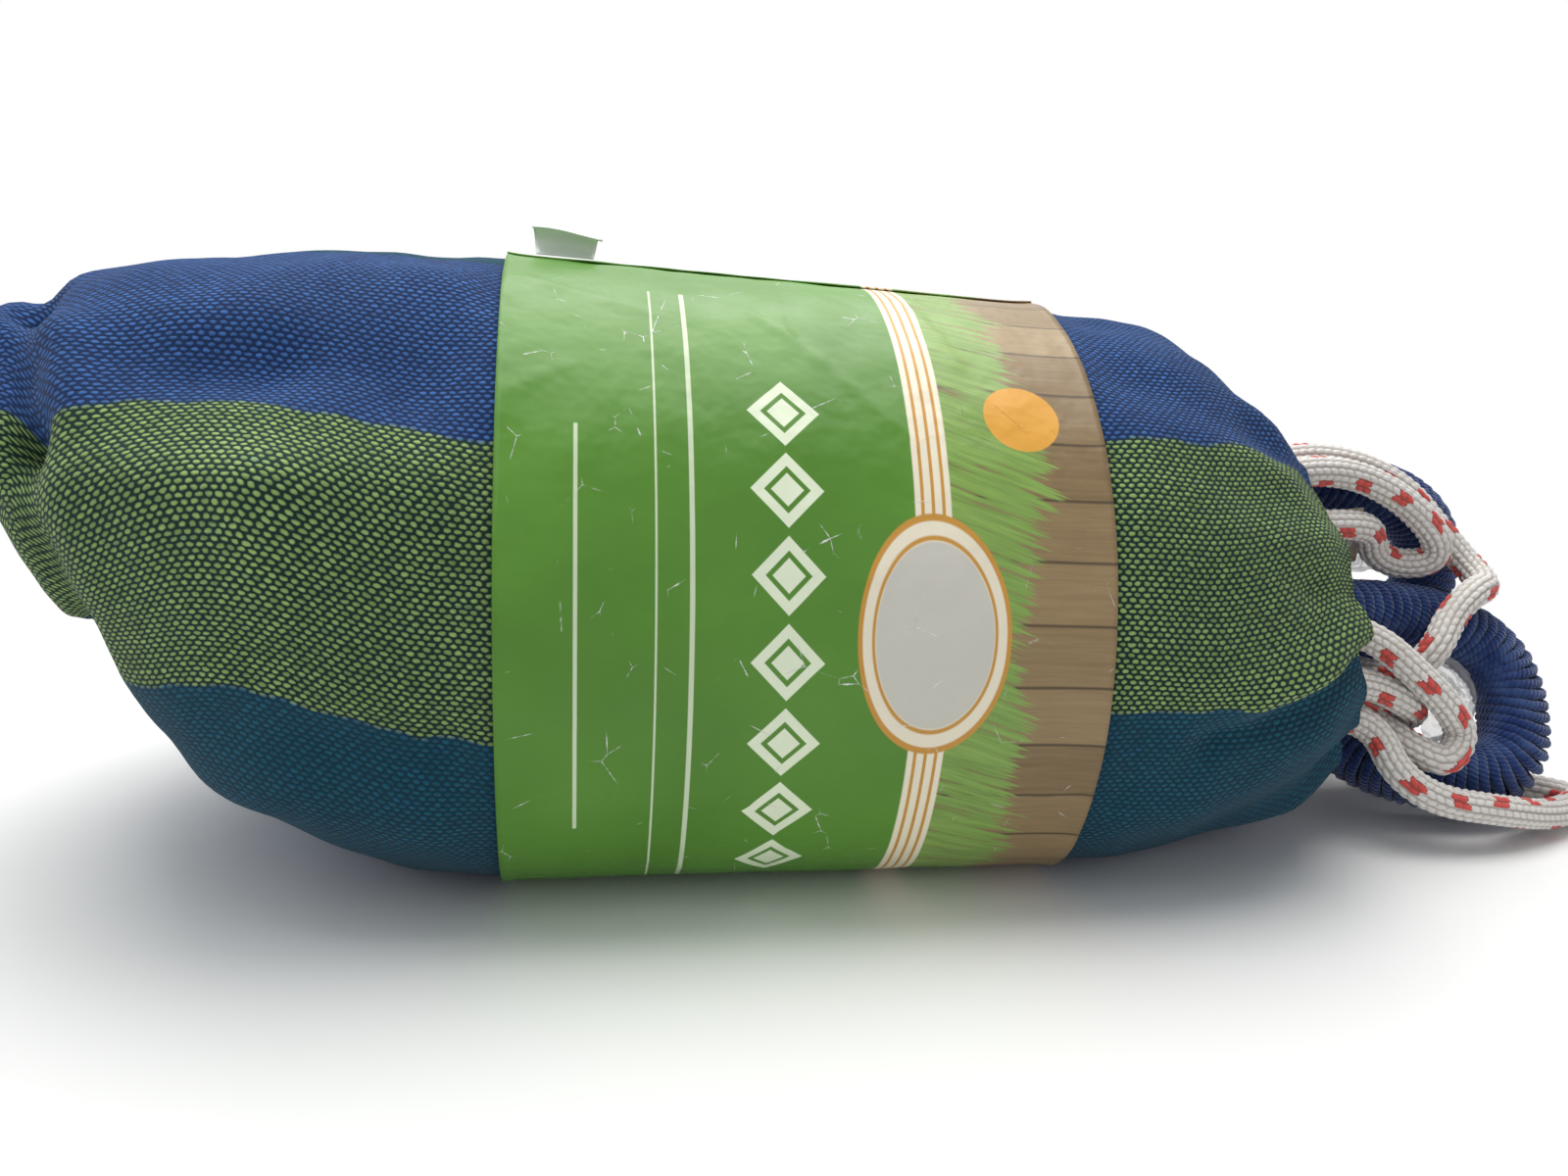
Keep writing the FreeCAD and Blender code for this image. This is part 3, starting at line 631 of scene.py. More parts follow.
def rope_paint(rope):
    """White braided yarn with red flecks, a little soiled, with painted shade between its stitches."""
    paint = Paint("braided_rope")
    _, along, around = paint.chart()
    spot = paint.space()
    mark = paint.mark()
    soil = paint.step(paint.noise(spot, 0.09, 4.0), 0.45, 0.75)
    yarn = paint.noise(paint.vector(paint.math("MULTIPLY", along, 1.2), paint.math("MULTIPLY", around, 5.0)),
                       1.0, 2.0)
    white = paint.mix(paint.math("MULTIPLY", soil, 0.35), rope.white, tint("b9aea6"))
    red = paint.step(mark, 0.42, 0.58)
    body = paint.mix(red, white, rope.fleck)
    # Painted shade: the stitch's height, carried in the mark, darkens the colour towards the seams between stitches.
    rise = paint.math("DIVIDE", paint.math("MULTIPLY_ADD", red, -0.7, mark), 0.3)
    body = paint.mix(paint.step(rise, 0.75, 0.15), body, paint.mix(red, tint("b9b1a8"), tint("9c342e")))
    shade = paint.mix(paint.math("MULTIPLY", yarn, 0.2), body, tint("b0a89e"))
    normal = paint.bump(yarn, 0.12 * MM, 0.8)
    return paint.finish(Base_Color=shade, Roughness=0.78, Sheen_Weight=0.2, Sheen_Roughness=0.5, Normal=normal)


def cord_paint(name, base, deep):
    """Soft twisted cotton cord with fuzz, its colour darkened into the grooves of its twist as painted shade."""
    paint = Paint(name)
    _, along, around = paint.chart()
    spot = paint.space()
    lay = paint.math("ADD", paint.math("MULTIPLY", along, 0.85), paint.math("MULTIPLY", around, 0.32))
    strand = paint.math("PINGPONG", lay, 0.5)
    fuzz = paint.noise(spot, 1.6, 5.0, 0.7)
    worn = paint.step(paint.noise(spot, 0.16, 3.0), 0.35, 0.75)
    # Painted shade: the colour runs to the deep tone in the grooves between strands, where the bump is low.
    tone = paint.mix(paint.math("MULTIPLY_ADD", strand, 1.0, paint.math("MULTIPLY", fuzz, 0.5)), deep, base)
    tone = paint.mix(paint.math("MULTIPLY", worn, 0.2), tone, tint("6f8dc4"))
    height = paint.math("MULTIPLY_ADD", fuzz, 0.8, paint.math("MULTIPLY", strand, 2.0))
    return paint.finish(Base_Color=tone, Roughness=0.95, Specular_IOR_Level=0.2, Sheen_Weight=0.35,
                        Sheen_Roughness=0.45, Normal=paint.bump(height, 0.35 * MM, 0.8))


# Operators

class HAMMOCK_OT_stage(bpy.types.Operator):
    """Makes the camera, the pale floor and the soft studio light"""
    bl_idname = "hammock.stage"
    bl_label = "Stage"

    def execute(self, context):
        scene = context.scene
        scene.view_settings.view_transform = "Standard"
        self.camera(scene)
        self.floor(scene)
        self.world(scene)
        for name, spot, size, power, shade in (
                ("window_light", (-0.05, 0.20, 0.80), 0.9, 10.0, (1.0, 0.985, 0.96)),
                ("sky_light", (-0.55, -0.30, 0.75), 0.8, 2.2, (0.94, 0.97, 1.0)),
                ("front_light", (0.35, -0.85, 0.35), 0.9, 1.0, (1.0, 1.0, 1.0))):
            lamp = bpy.data.lights.new(name, "AREA")
            lamp.size = size
            lamp.energy = power
            lamp.color = shade
            holder = bpy.data.objects.new(name, lamp)
            holder.location = spot
            holder.rotation_euler = (Vector((0, 0, 0.06)) - Vector(spot)).to_track_quat("-Z", "Y").to_euler()
            scene.collection.objects.link(holder)
        return {"FINISHED"}

    def camera(self, scene):
        turn, rise, roll, distance = math.radians(-9), math.radians(15), math.radians(2.5), 0.345
        back = Vector((math.sin(turn) * math.cos(rise), -math.cos(turn) * math.cos(rise), math.sin(rise)))
        lens = bpy.data.cameras.new("camera")
        lens.sensor_width = 36
        lens.lens = 31.5
        lens.clip_start = 0.02
        camera = bpy.data.objects.new("camera", lens)
        camera.location = Vector((-0.012, 0, 0.058)) + back * distance
        camera.rotation_mode = "QUATERNION"
        camera.rotation_quaternion = (-back).to_track_quat("-Z", "Y") @ Quaternion((0, 0, 1), roll)
        scene.collection.objects.link(camera)
        scene.camera = camera

    def floor(self, scene):
        mesh = bmesh.new()
        bmesh.ops.create_grid(mesh, x_segments=8, y_segments=8, size=3.0)
        data = bpy.data.meshes.new("floor")
        mesh.to_mesh(data)
        mesh.free()
        paint = Paint("floor")
        place = paint.space()
        grain = paint.noise(place, 0.01, 2.0)
        away = paint.node("ShaderNodeVectorMath", {0: place}, operation="LENGTH").outputs["Value"]
        rays = paint.node("ShaderNodeLightPath")
        seen = paint.math("MINIMUM", paint.math("ADD", rays.outputs["Is Camera Ray"],
                                                paint.math("ADD", rays.outputs["Is Glossy Ray"],
                                                           rays.outputs["Is Transmission Ray"])), 1.0)
        open_floor = paint.math("MULTIPLY", paint.step(away, 210.0, 330.0), seen)
        shaded = paint.finish(Base_Color=paint.mix(grain, tint("f8f8f7"), tint("fcfcfb")), Roughness=0.8)
        bright = paint.node("ShaderNodeEmission", {"Color": (1.0, 1.0, 1.0), "Strength": 1.0})
        blend = paint.node("ShaderNodeMixShader", {0: open_floor})
        paint.links.new(paint.shader.outputs[0], blend.inputs[1])
        paint.links.new(bright.outputs[0], blend.inputs[2])
        paint.links.new(blend.outputs[0], paint.nodes["Material Output"].inputs["Surface"])
        data.materials.append(shaded)
        floor = bpy.data.objects.new("floor", data)
        scene.collection.objects.link(floor)

    def world(self, scene):
        """A pale studio that looks white to the camera, in gloss and through the film."""
        world = bpy.data.worlds.new("studio")
        world.use_nodes = True
        scene.world = world
        nodes, links = world.node_tree.nodes, world.node_tree.links
        rays = nodes.new("ShaderNodeLightPath")
        bounced, seen = nodes.new("ShaderNodeMath"), nodes.new("ShaderNodeMath")
        for total, first, second in ((bounced, rays.outputs["Is Glossy Ray"], rays.outputs["Is Transmission Ray"]),
                                     (seen, rays.outputs["Is Camera Ray"], bounced.outputs[0])):
            total.operation = "ADD"
            links.new(first, total.inputs[0])
            links.new(second, total.inputs[1])
        seen.use_clamp = True
        dim, white, mixed = (nodes.new("ShaderNodeBackground"), nodes.new("ShaderNodeBackground"),
                             nodes.new("ShaderNodeMixShader"))
        dim.inputs["Color"].default_value = (0.90, 0.94, 1.0, 1)
        dim.inputs["Strength"].default_value = 0.2
        white.inputs["Color"].default_value = (1, 1, 1, 1)
        links.new(seen.outputs[0], mixed.inputs[0])
        links.new(dim.outputs[0], mixed.inputs[1])
        links.new(white.outputs[0], mixed.inputs[2])
        links.new(mixed.outputs[0], nodes["World Output"].inputs["Surface"])


class HAMMOCK_OT_ropes(bpy.types.Operator):
    """Lays the five free stretches of white braided rope at the mouth"""
    bl_idname = "hammock.ropes"
    bl_label = "Ropes"

    def execute(self, context):
        rope = context.scene.hammock_rope
        paint = rope_paint(rope)
        surface = braid(rope)
        for name, route in ROPE_ROUTES.items():
            line, total = route_line(route, 0.5 * MM)
            mesh = bmesh.new()
            add_tube(mesh, line, 5 * rope.columns, surface, total)
            close_ends(mesh)
            item = piece(f"braid_{name}", mesh, paint, nodes=[name])
        return {"FINISHED"}


class HAMMOCK_OT_hanks(bpy.types.Operator):
    """Puts the rest of the rope away in three small coils inside the mouth"""
    bl_idname = "hammock.hanks"
    bl_label = "Rope hanks"

    # Middle of each coil, and its half length, half height and half depth between the turns' middles
    COILS = {
        "rope_hank_upper": ((83, -1.5, 81), (14.5, 11.5, 8.2)),
        "rope_hank_front": ((83, -31.5, 50), (14.5, 23.0, 9.2)),
        "rope_hank_lower": ((83, 21.5, 35), (14.5, 10.5, 10.2)),
    }

    def execute(self, context):
        rope = context.scene.hammock_rope
        paint = bpy.data.materials["braided_rope"]
        surface = braid(rope)
        for name, (middle, (half, rise, depth)) in self.COILS.items():
            turns, per_turn = 3, 12
            route = []
            for k in range(turns * per_turn + 1):
                angle = 2 * math.pi * k / per_turn
                drift = depth * (2 * k / (turns * per_turn) - 1)
                route.append((middle[0] + half * math.cos(angle), middle[1] + drift,
                              middle[2] + rise * math.sin(angle)))
            line, total = route_line(route, 0.8 * MM)
            mesh = bmesh.new()
            add_tube(mesh, line, 3 * rope.columns, surface, total)
            close_ends(mesh)
            item = piece(f"coil_{name}", mesh, paint, nodes=[name])
        return {"FINISHED"}


class HAMMOCK_OT_eyes(bpy.types.Operator):
    """Builds the two eyes: a bundle of clew cords and a blue cord wound round it"""
    bl_idname = "hammock.eyes"
    bl_label = "Whipped eyes"

    def execute(self, context):
        rope = context.scene.hammock_rope
        # The second colour of each cord is its painted shade in the grooves of the twist.
        clew = cord_paint("clew_cord", rope.clew, tint("0c1d45"))
        wound = cord_paint("whipping_cord", rope.whipping, tint("0d2352"))
        bundle_radius = 6.4 * MM
        for end, route in EYE_ROUTES.items():
            line, total = route_line(route, 1.0 * MM)
            mesh = bmesh.new()
            add_tube(mesh, line, 42, plies(bundle_radius, 7, 40 * MM, 0.14), total)
            close_ends(mesh)
            piece(f"clew_bundle_{end}", mesh, clew, nodes=[f"eye_core_{end}"])
            mesh = bmesh.new()
            self.winding(mesh, line, total, rope.cord, bundle_radius)
            close_ends(mesh)
            piece(f"whipping_{end}", mesh, wound, nodes=[f"eye_whipping_{end}"])
        return {"FINISHED"}

    def winding(self, mesh, line, total, cord, bundle_radius):
        """One long cord wound round the bundle, its turns side by side and leaning a little."""
        frames = carried_frames(line)
        bare = 50 * MM
        pitch = cord * 0.93
        turns = round((total - 2 * bare) / pitch)
        per_turn = 28
        radius = bundle_radius + 0.42 * cord
        lean = 3.4 * MM
        path = []
        for k in range(turns * per_turn + 1):
            angle = 2 * math.pi * k / per_turn
            turn = k / per_turn
            uneven = 0.35 * MM * noise.noise(Vector((turn * 0.7, 0, 0)))
            reach = bare + (total - 2 * bare) * turn / turns + lean * math.sin(angle + 0.9) + uneven
            at = min(max(reach / total, 0), 1) * (len(frames) - 1)
            low = min(int(at), len(frames) - 2)
            share = at - low
            point = frames[low][0].lerp(frames[low + 1][0], share)
            side = frames[low][1].lerp(frames[low + 1][1], share)
            other = frames[low][2].lerp(frames[low + 1][2], share)
            swell = radius * (1 + 0.03 * noise.noise(Vector((turn * 0.35, 4, 0))))
            path.append(point + side * (math.cos(angle) * swell) + other * (math.sin(angle) * swell))
        add_tube(mesh, path, 10, plies(cord / 2, 2, 5 * MM, 0.16), path_length(path))


class HAMMOCK_OT_necks(bpy.types.Operator):
    """Ties the eyes' necks and fans their clew cords out to the bed's end hems"""
    bl_idname = "hammock.necks"
    bl_label = "Necks and clew cords"

    # Middle and slant of each neck tie, start of the clew cords, and the bed's hem in X and Z
    NECKS = {
        "front": ((80, -6, 43), -10.3, (65.5, -8, 32), (49.3, 10)),
        "rear": ((80, 22, 72.8), 0, (65.5, 22, 84), (49.3, 113)),
    }

    def execute(self, context):
        rope = context.scene.hammock_rope
        clew = bpy.data.materials["clew_cord"]
        wound = bpy.data.materials["whipping_cord"]
        for end, (middle, slant, start, hem) in self.NECKS.items():
            mesh = bmesh.new()
            self.tie(mesh, Vector(middle), math.radians(slant))
            close_ends(mesh)
            piece(f"neck_tie_{end}", mesh, wound, nodes=[f"neck_seizing_{end}"])
            mesh = bmesh.new()
            for k in range(6):
                angle = 2 * math.pi * k / 6
                first = Vector(start) + Vector((0, 4.4 * math.cos(angle), 4.4 * math.sin(angle)))
                last = Vector((hem[0], 62 * (k / 5 - 0.5), hem[1]))
                line, total = route_line([first, first - Vector((3.6, 0, 0)), last + Vector((3.6, 0, 0)), last], MM)
                add_tube(mesh, line, 12, plies(1.6 * MM, 3, 7 * MM, 0.2), total)
            close_ends(mesh)
            piece(f"clew_fan_{end}", mesh, clew, nodes=[f"clew_cords_{end}"])
        return {"FINISHED"}

    def tie(self, mesh, middle, slant):
        """Four turns of cord round both legs of a neck."""
        turns, per_turn, half, radius = 4, 36, 11.2, 8.1
        path = []
        for k in range(turns * per_turn + 1):
            angle = 2 * math.pi * k / per_turn
            x = -4.4 + 8.8 * k / (turns * per_turn)
            y = radius * math.cos(angle)
            rise = math.sin(angle)
            z = radius * rise + math.copysign(min(abs(rise) * 3, 1) * half, rise)
            turned = Vector((x, y * math.cos(slant) - z * math.sin(slant),
                             y * math.sin(slant) + z * math.cos(slant)))
            path.append((middle + turned) * MM)
        add_tube(mesh, path, 10, plies(1.25 * MM, 2, 5 * MM, 0.16), path_length(path))


class HAMMOCK_OT_bag(bpy.types.Operator):
    """Sews the striped carry bag with its folds, gathers and turned hem"""
    bl_idname = "hammock.bag"
    bl_label = "Carry bag"

    def execute(self, context):
        cloth = context.scene.hammock_cloth
        paint = striped_cloth("striped_cloth", cloth)
        mesh = bag_mesh(190, 170)
        item = piece("striped_bag", mesh, paint, nodes=["carry_bag"])
        thicken(item, "cloth", cloth.thickness)
        return {"FINISHED"}


class HAMMOCK_OT_bed(bpy.types.Operator):
    """Folds the bed's cloth, eight plies deep and zigzagged, inside the bag"""
    bl_idname = "hammock.bed"
    bl_label = "Folded bed"

    PLIES, FOLD_COUNT, PLY_WIDTH = 8, 8, 127
    FOLD_THICK, FOLD_GAP, FLOOR_GAP = 13.6, 1.4, 3.6
    # Left turn of each pair of folds, from the floor up, the right turns, and both hems
    LEFTS, RIGHT, HEM = (-107, -148, -167, -164), 48, 49

    def execute(self, context):
        mesh = bmesh.new()
        rims = [self.add_ply(mesh, self.ply_line(ply), ply) for ply in range(self.PLIES)]
        for ply in range(self.PLIES - 1):
            side = ply % 2
            pair = set(rims[ply][side]) | set(rims[ply + 1][side])
            edges = [edge for edge in mesh.edges if edge.is_boundary and set(edge.verts) <= pair]
            bmesh.ops.bridge_loops(mesh, edges=edges)
        for face in mesh.faces:
            face.smooth = True
        item = piece("folded_bed", mesh, bpy.data.materials["striped_cloth"], nodes=["hammock_bed"])
        return {"FINISHED"}

    def ply_line(self, ply):
        """One ply's zigzag seen along Y, as (x, z) in millimetres."""
        pitch = self.FOLD_THICK + self.FOLD_GAP
        depth = (ply + 0.5) * self.FOLD_THICK / self.PLIES
        bend = (pitch + self.FOLD_THICK) / 2
        last = self.FOLD_COUNT - 1
        line = []
        for fold in range(self.FOLD_COUNT):
            flip = fold % 2
            z = self.FLOOR_GAP + pitch * fold + (self.FOLD_THICK - depth if flip else depth)
            left = self.LEFTS[fold // 2] + bend
            right = self.RIGHT - bend
            start, stop = (left, right) if flip else (right, left)
            if fold == 0:
                start = self.HEM
            if fold == last:
                stop = self.HEM
            line += [(start + (stop - start) * k / 16, z) for k in range(17)]
            if fold < last:
                middle = self.FLOOR_GAP + pitch * (fold + 1) - self.FOLD_GAP / 2
                radius = middle - z
                bulge = 1 if flip else -1
                line += [(stop + bulge * abs(radius) * math.sin(math.pi * k / 6),
                          middle - radius * math.cos(math.pi * k / 6)) for k in range(1, 6)]
        return line

    def add_ply(self, mesh, line, ply):
        """Adds one ply along its zigzag and gives back the vertices of its two long rims."""
        steps = len(line) - 1
        reach = [0.0]
        for a, b in zip(line, line[1:]):
            reach.append(reach[-1] + math.dist(a, b))
        sides = ([], [])
        across = 24

        def place(u, v):
            k = round(v * steps)
            x, z = line[k]
            side = 2 * u - 1
            ripple = 0.65 * math.cos(math.pi * round(u * across))
            sag = 0.35 * noise.noise(Vector((x / 16, side * 3, z / 5))) + ripple
            # drawn in at the tail, where the bag's creases press on the plies
            inset = (3.5 + 4 * ease(z, 90, 102)) * ease(x, -82, -98)
            point = Vector((x, side * (self.room(x, z) - inset), z + sag))
            return point * MM, (reach[k] * MM, (ply + side / 2) * self.PLY_WIDTH * MM), 0.0

        made = wrapped_grid(mesh, across, steps, place)
        for vert in made:
            room = self.room(vert.co.x / MM, vert.co.z / MM) * MM
            if len(vert.link_faces) < 4 and abs(vert.co.y) > 0.7 * room:
                sides[1 if vert.co.y > 0 else 0].append(vert)
        return sides

    def room(self, x, z):
        """Half the depth that the bag leaves at a place, less a little slack."""
        station = station_at(min(max(x, KNOTS[0] + 6), KNOTS[-1]))
        girth = half_girth(station)
        heights = [section_point(station, -girth * k / 40, -4.2) for k in range(41)]
        best = min(heights, key=lambda point: abs(point.z - z))
        return max(best.y, 8.0)


class HAMMOCK_OT_sleeve(bpy.types.Operator):
    """Wraps the printed card sleeve round the bag, with its lap and the lap's curled corner"""
    bl_idname = "hammock.sleeve"
    bl_label = "Card sleeve"

    # Creases: start and end as (distance from the left edge, reach from the crown), half width, height
    CREASES = [
        ((2, 22), (30, 34), 1.4, 0.5), ((18, 6), (46, 20), 1.2, -0.4), ((52, 30), (66, 46), 1.2, 0.6),
        ((58, 24), (60, 44), 1.0, 0.5), ((66, 46), (84, 66), 1.1, 0.45), ((88, 14), (96, 44), 1.2, 0.5),
        ((100, 12), (122, 20), 1.2, 0.5), ((4, 120), (20, 128), 1.2, 0.4), ((60, 100), (78, 92), 1.0, 0.4),
        ((64, 112), (72, 132), 1.1, 0.5), ((70, 128), (84, 118), 1.0, 0.45), ((48, 140), (60, 158), 1.1, 0.4),
        ((96, 150), (120, 140), 1.3, 0.5), ((2, 60), (14, 52), 1.2, 0.5), ((26, 160), (44, 170), 1.2, 0.5),
        ((10, -60), (60, -50), 1.4, 0.5), ((60, -80), (110, -96), 1.4, 0.5), ((30, -120), (90, -110), 1.4, 0.5),
    ]

    def execute(self, context):
        card = context.scene.hammock_card
        mesh = bmesh.new()
        self.band(mesh)
        self.curl(mesh)
        bmesh.ops.recalc_face_normals(mesh, faces=mesh.faces)
        item = piece("printed_sleeve", mesh, self.print_paint(card), body="sleeve",
                     nodes=["label_sleeve"])
        thicken(item, "card", card.thickness, offset=1)
        return {"FINISHED"}

    def lift(self, along, reach):
        """How far the card stands off the bag, with its flared edges and its creases."""
        spot = Vector((along, reach, 0))
        edge = min(along, SLEEVE_WIDTH - along)
        flare = 0.9 * math.exp(-edge / 3.0) * (0.6 + 0.5 * noise.noise(spot / 22 + Vector((3, 1, 0))))
        total = 0.35 + 0.45 * abs(noise.noise(spot / 19)) + flare
        for start, end, width, height in self.CREASES:
            away = crease_distance(along, reach, start, end) / width
            if away < 4:
                total += height * math.exp(-away)
        return max(total, 0.3)

    def band(self, mesh):
        """The strip from its hidden end under the lap, round the front and the back, to the lap's edge."""
        lap = 26.0
        girth = 2 * half_girth(belly(0))

        def place(u, v):
            along = u * SLEEVE_WIDTH
            reach = -lap + v * (girth + lap)
            station = belly(SLEEVE_START + along)
            local = reach if reach < girth / 2 else reach - girth
            scale = half_girth(station) / (girth / 2)
            over = 0.55 * ease(v * (girth + lap), girth - 14, girth + 2)
            lift = self.lift(along, reach) + over
            point = section_point(station, local * scale, lift)
            return point * MM, (along * MM, reach * MM), 0.0

        wrapped_grid(mesh, 96, 330, place)

    def curl(self, mesh):
        """The loose corner of the lap, rolled back so that its bare side shows."""
        start, width, radius = 6.5, 13.0, 3.4
        base = belly(SLEEVE_START + start)
        crown = base[3] + 1.6

        def place(u, v):
            along = start + width * u
            fall = CROWN_FALL * (along - start) / SLEEVE_WIDTH
            swing = math.radians(-85 + (185 + 30 * u) * v)
            loose = radius * (1 - 0.18 * v + 0.12 * math.sin(3 * u + 1))
            y = 2.0 - loose * math.cos(swing + math.pi) * 1.05
            z = crown - fall + loose + loose * math.sin(swing)
            skew = 3.0 * v * (u - 0.3)
            return (Vector((SLEEVE_START + along + skew, y, z)) * MM,
                    (along * MM, (-1 + 14 * v) * MM), 1.0)

        wrapped_grid(mesh, 18, 26, place)

    # The print: millimetres along the sleeve from its left edge, and round it from the crown
    OCHRE_LINES = (84.6, 86.8, 89.0)
    PLANK_WIDTH = 13.0
    PLAQUE, PLAQUE_HALF = (87.0, 106.0), (16.0, 25.0)
    SPOT, SPOT_RADIUS = (108.0, 58.0), 8.4
    LOZENGE_MIDDLE, LOZENGE_HALF, LOZENGE_PITCH = (57.0, 52.0), 7.6, 17.0
    # Pale rules: place along the sleeve, both ends round it, half width
    RULES = ((38.0, 24.0, 176.0, 0.5), (31.0, 24.0, 176.0, 0.22), (15.5, 66.0, 150.0, 0.4))

    def print_paint(self, card):
        """Glossy printed card: a green panel, a cream band, planks with blades of grass and plain shapes."""
        paint = Paint("printed_card")
        place, along, reach = paint.chart()
        green = paint.mix(paint.step(paint.noise(place, 0.02, 2.0), 0.3, 0.7), card.leaf, tint("578c2b"))
        body = paint.mix(paint.step(along, 88.0, 88.6), green, self.planks_and_grass(paint, place, along, reach))
        # the cream band with three ochre lines
        body = paint.mix(paint.within(along, 83.0, 90.6, 0.2), body, card.cream)
        for line in self.OCHRE_LINES:
            body = paint.mix(paint.within(along, line - 0.35, line + 0.35, 0.12), body, card.ochre)
        body = self.plaque(paint, card, body, along, reach)
        disc = paint.distance(paint.math("SUBTRACT", along, self.SPOT[0]), paint.math("SUBTRACT", reach, self.SPOT[1]))
        body = paint.mix(paint.step(disc, self.SPOT_RADIUS, self.SPOT_RADIUS - 0.3), body, card.spot)
        body = self.lozenges_and_rules(paint, card, body, along, reach)
        # cracks, scuffs and the bare card of the curled corner
        wander = paint.math("MULTIPLY_ADD", paint.noise(place, 0.7, 4.0, 0.7), 0.03, paint.creases(place, 0.075))
        crack = paint.math("MULTIPLY", paint.step(wander, 0.023, 0.016),
                           paint.step(paint.noise(place, 0.11, 3.0), 0.56, 0.66))
        scuff = paint.step(paint.noise(paint.vector(paint.math("MULTIPLY", along, 0.4), reach), 1.2, 5.0, 0.8),
                           0.68, 0.78)
        off_spot = paint.step(disc, self.SPOT_RADIUS, 60.0)
        body = paint.mix(paint.math("MULTIPLY", crack, off_spot), body, card.inside)
        body = paint.mix(paint.math("MULTIPLY", scuff, 0.2), body, card.inside)
        body = paint.mix(paint.mark(), body, card.inside)
        rough = paint.math("MULTIPLY_ADD", paint.noise(place, 0.12, 4.0, 0.6), 0.25, 0.28)
        waves = paint.bump(paint.noise(place, 0.06, 3.0, 0.55), 2.2 * MM, 0.55)
        return paint.finish(Base_Color=body, Roughness=rough, Specular_IOR_Level=0.3, Coat_Weight=0.1,
                            Coat_Roughness=0.3, Normal=paint.bump(crack, 0.15 * MM, 0.8, waves))

    def planks_and_grass(self, paint, place, along, reach):
        """Planks that run along the sleeve, with blades of grass growing over them from the band."""
        plank = paint.math("DIVIDE", paint.math("ADD", reach, 300.0), self.PLANK_WIDTH)
        plank_id, plank_at = paint.whole_and_rest(plank)
        tone = paint.node("ShaderNodeTexWhiteNoise", {"W": plank_id}, noise_dimensions="1D").outputs["Value"]
        grain = paint.noise(paint.vector(paint.math("MULTIPLY", along, 0.06), reach, plank_id), 0.9, 5.0, 0.65)
        wood = paint.mix(paint.math("MULTIPLY_ADD", tone, 0.5, paint.math("MULTIPLY", grain, 0.6)), tint("594429"),
                         tint("ab926a"))
        gap = paint.math("ADD", paint.step(plank_at, 0.05, 0.0), paint.step(plank_at, 0.96, 1.0))
        wood = paint.mix(paint.math("MULTIPLY", gap, 0.85), wood, tint("35291a"))
        lean = paint.math("MULTIPLY_ADD", along, -0.35, reach)
        blades = paint.noise(paint.vector(paint.math("MULTIPLY", along, 0.05), lean), 0.75, 3.0, 0.7)
        fade = paint.step(paint.math("MULTIPLY_ADD", paint.noise(place, 0.05, 1.0), 22.0, along), 112.0, 134.0)
        grass_on = paint.step(paint.math("SUBTRACT", blades, paint.math("MULTIPLY", fade, 0.5)), 0.34, 0.44)
        return paint.mix(grass_on, wood, paint.mix(blades, tint("2f5a1c"), tint("a5c866")))

    def plaque(self, paint, card, body, along, reach):
        """The blank oval on the band, with its ochre rim and ring."""
        offsets = [paint.math("DIVIDE", paint.math("SUBTRACT", value, middle), half)
                   for value, middle, half in zip((along, reach), self.PLAQUE, self.PLAQUE_HALF)]
        oval = paint.distance(*offsets)
        body = paint.mix(paint.step(oval, 1.01, 0.99), body, card.ochre)
        body = paint.mix(paint.step(oval, 0.95, 0.93), body, card.cream)
        body = paint.mix(paint.within(oval, 0.78, 0.82, 0.012), body, card.ochre)
        return paint.mix(paint.step(oval, 0.78, 0.76), body, tint("cfccc2"))

    def lozenges_and_rules(self, paint, card, body, along, reach):
        """Pale lozenges and rules on the green panel."""
        middle, first = self.LOZENGE_MIDDLE
        row = paint.math("DIVIDE", paint.math("SUBTRACT", reach, first), self.LOZENGE_PITCH)
        row_at = paint.math("SUBTRACT", paint.whole_and_rest(row)[1], 0.5)
        across = paint.math("DIVIDE", paint.math("SUBTRACT", along, middle), self.LOZENGE_HALF)
        lozenge = paint.math("ADD", paint.math("ABSOLUTE", across),
                             paint.math("ABSOLUTE", paint.math("MULTIPLY", row_at, 2.15)))
        shape = paint.math("SUBTRACT", paint.step(lozenge, 1.0, 0.96), paint.within(lozenge, 0.44, 0.62, 0.02))
        zone = paint.within(reach, first, 171.0, 0.2)
        body = paint.mix(paint.math("MULTIPLY", paint.math("MAXIMUM", shape, 0.0), zone), body, card.pale)
        for line, low, high, wide in self.RULES:
            rule = paint.math("MULTIPLY", paint.within(along, line - wide, line + wide, 0.1),
                              paint.within(reach, low, high, 0.2))
            body = paint.mix(paint.math("MULTIPLY", rule, 0.75), body, card.pale)
        return body


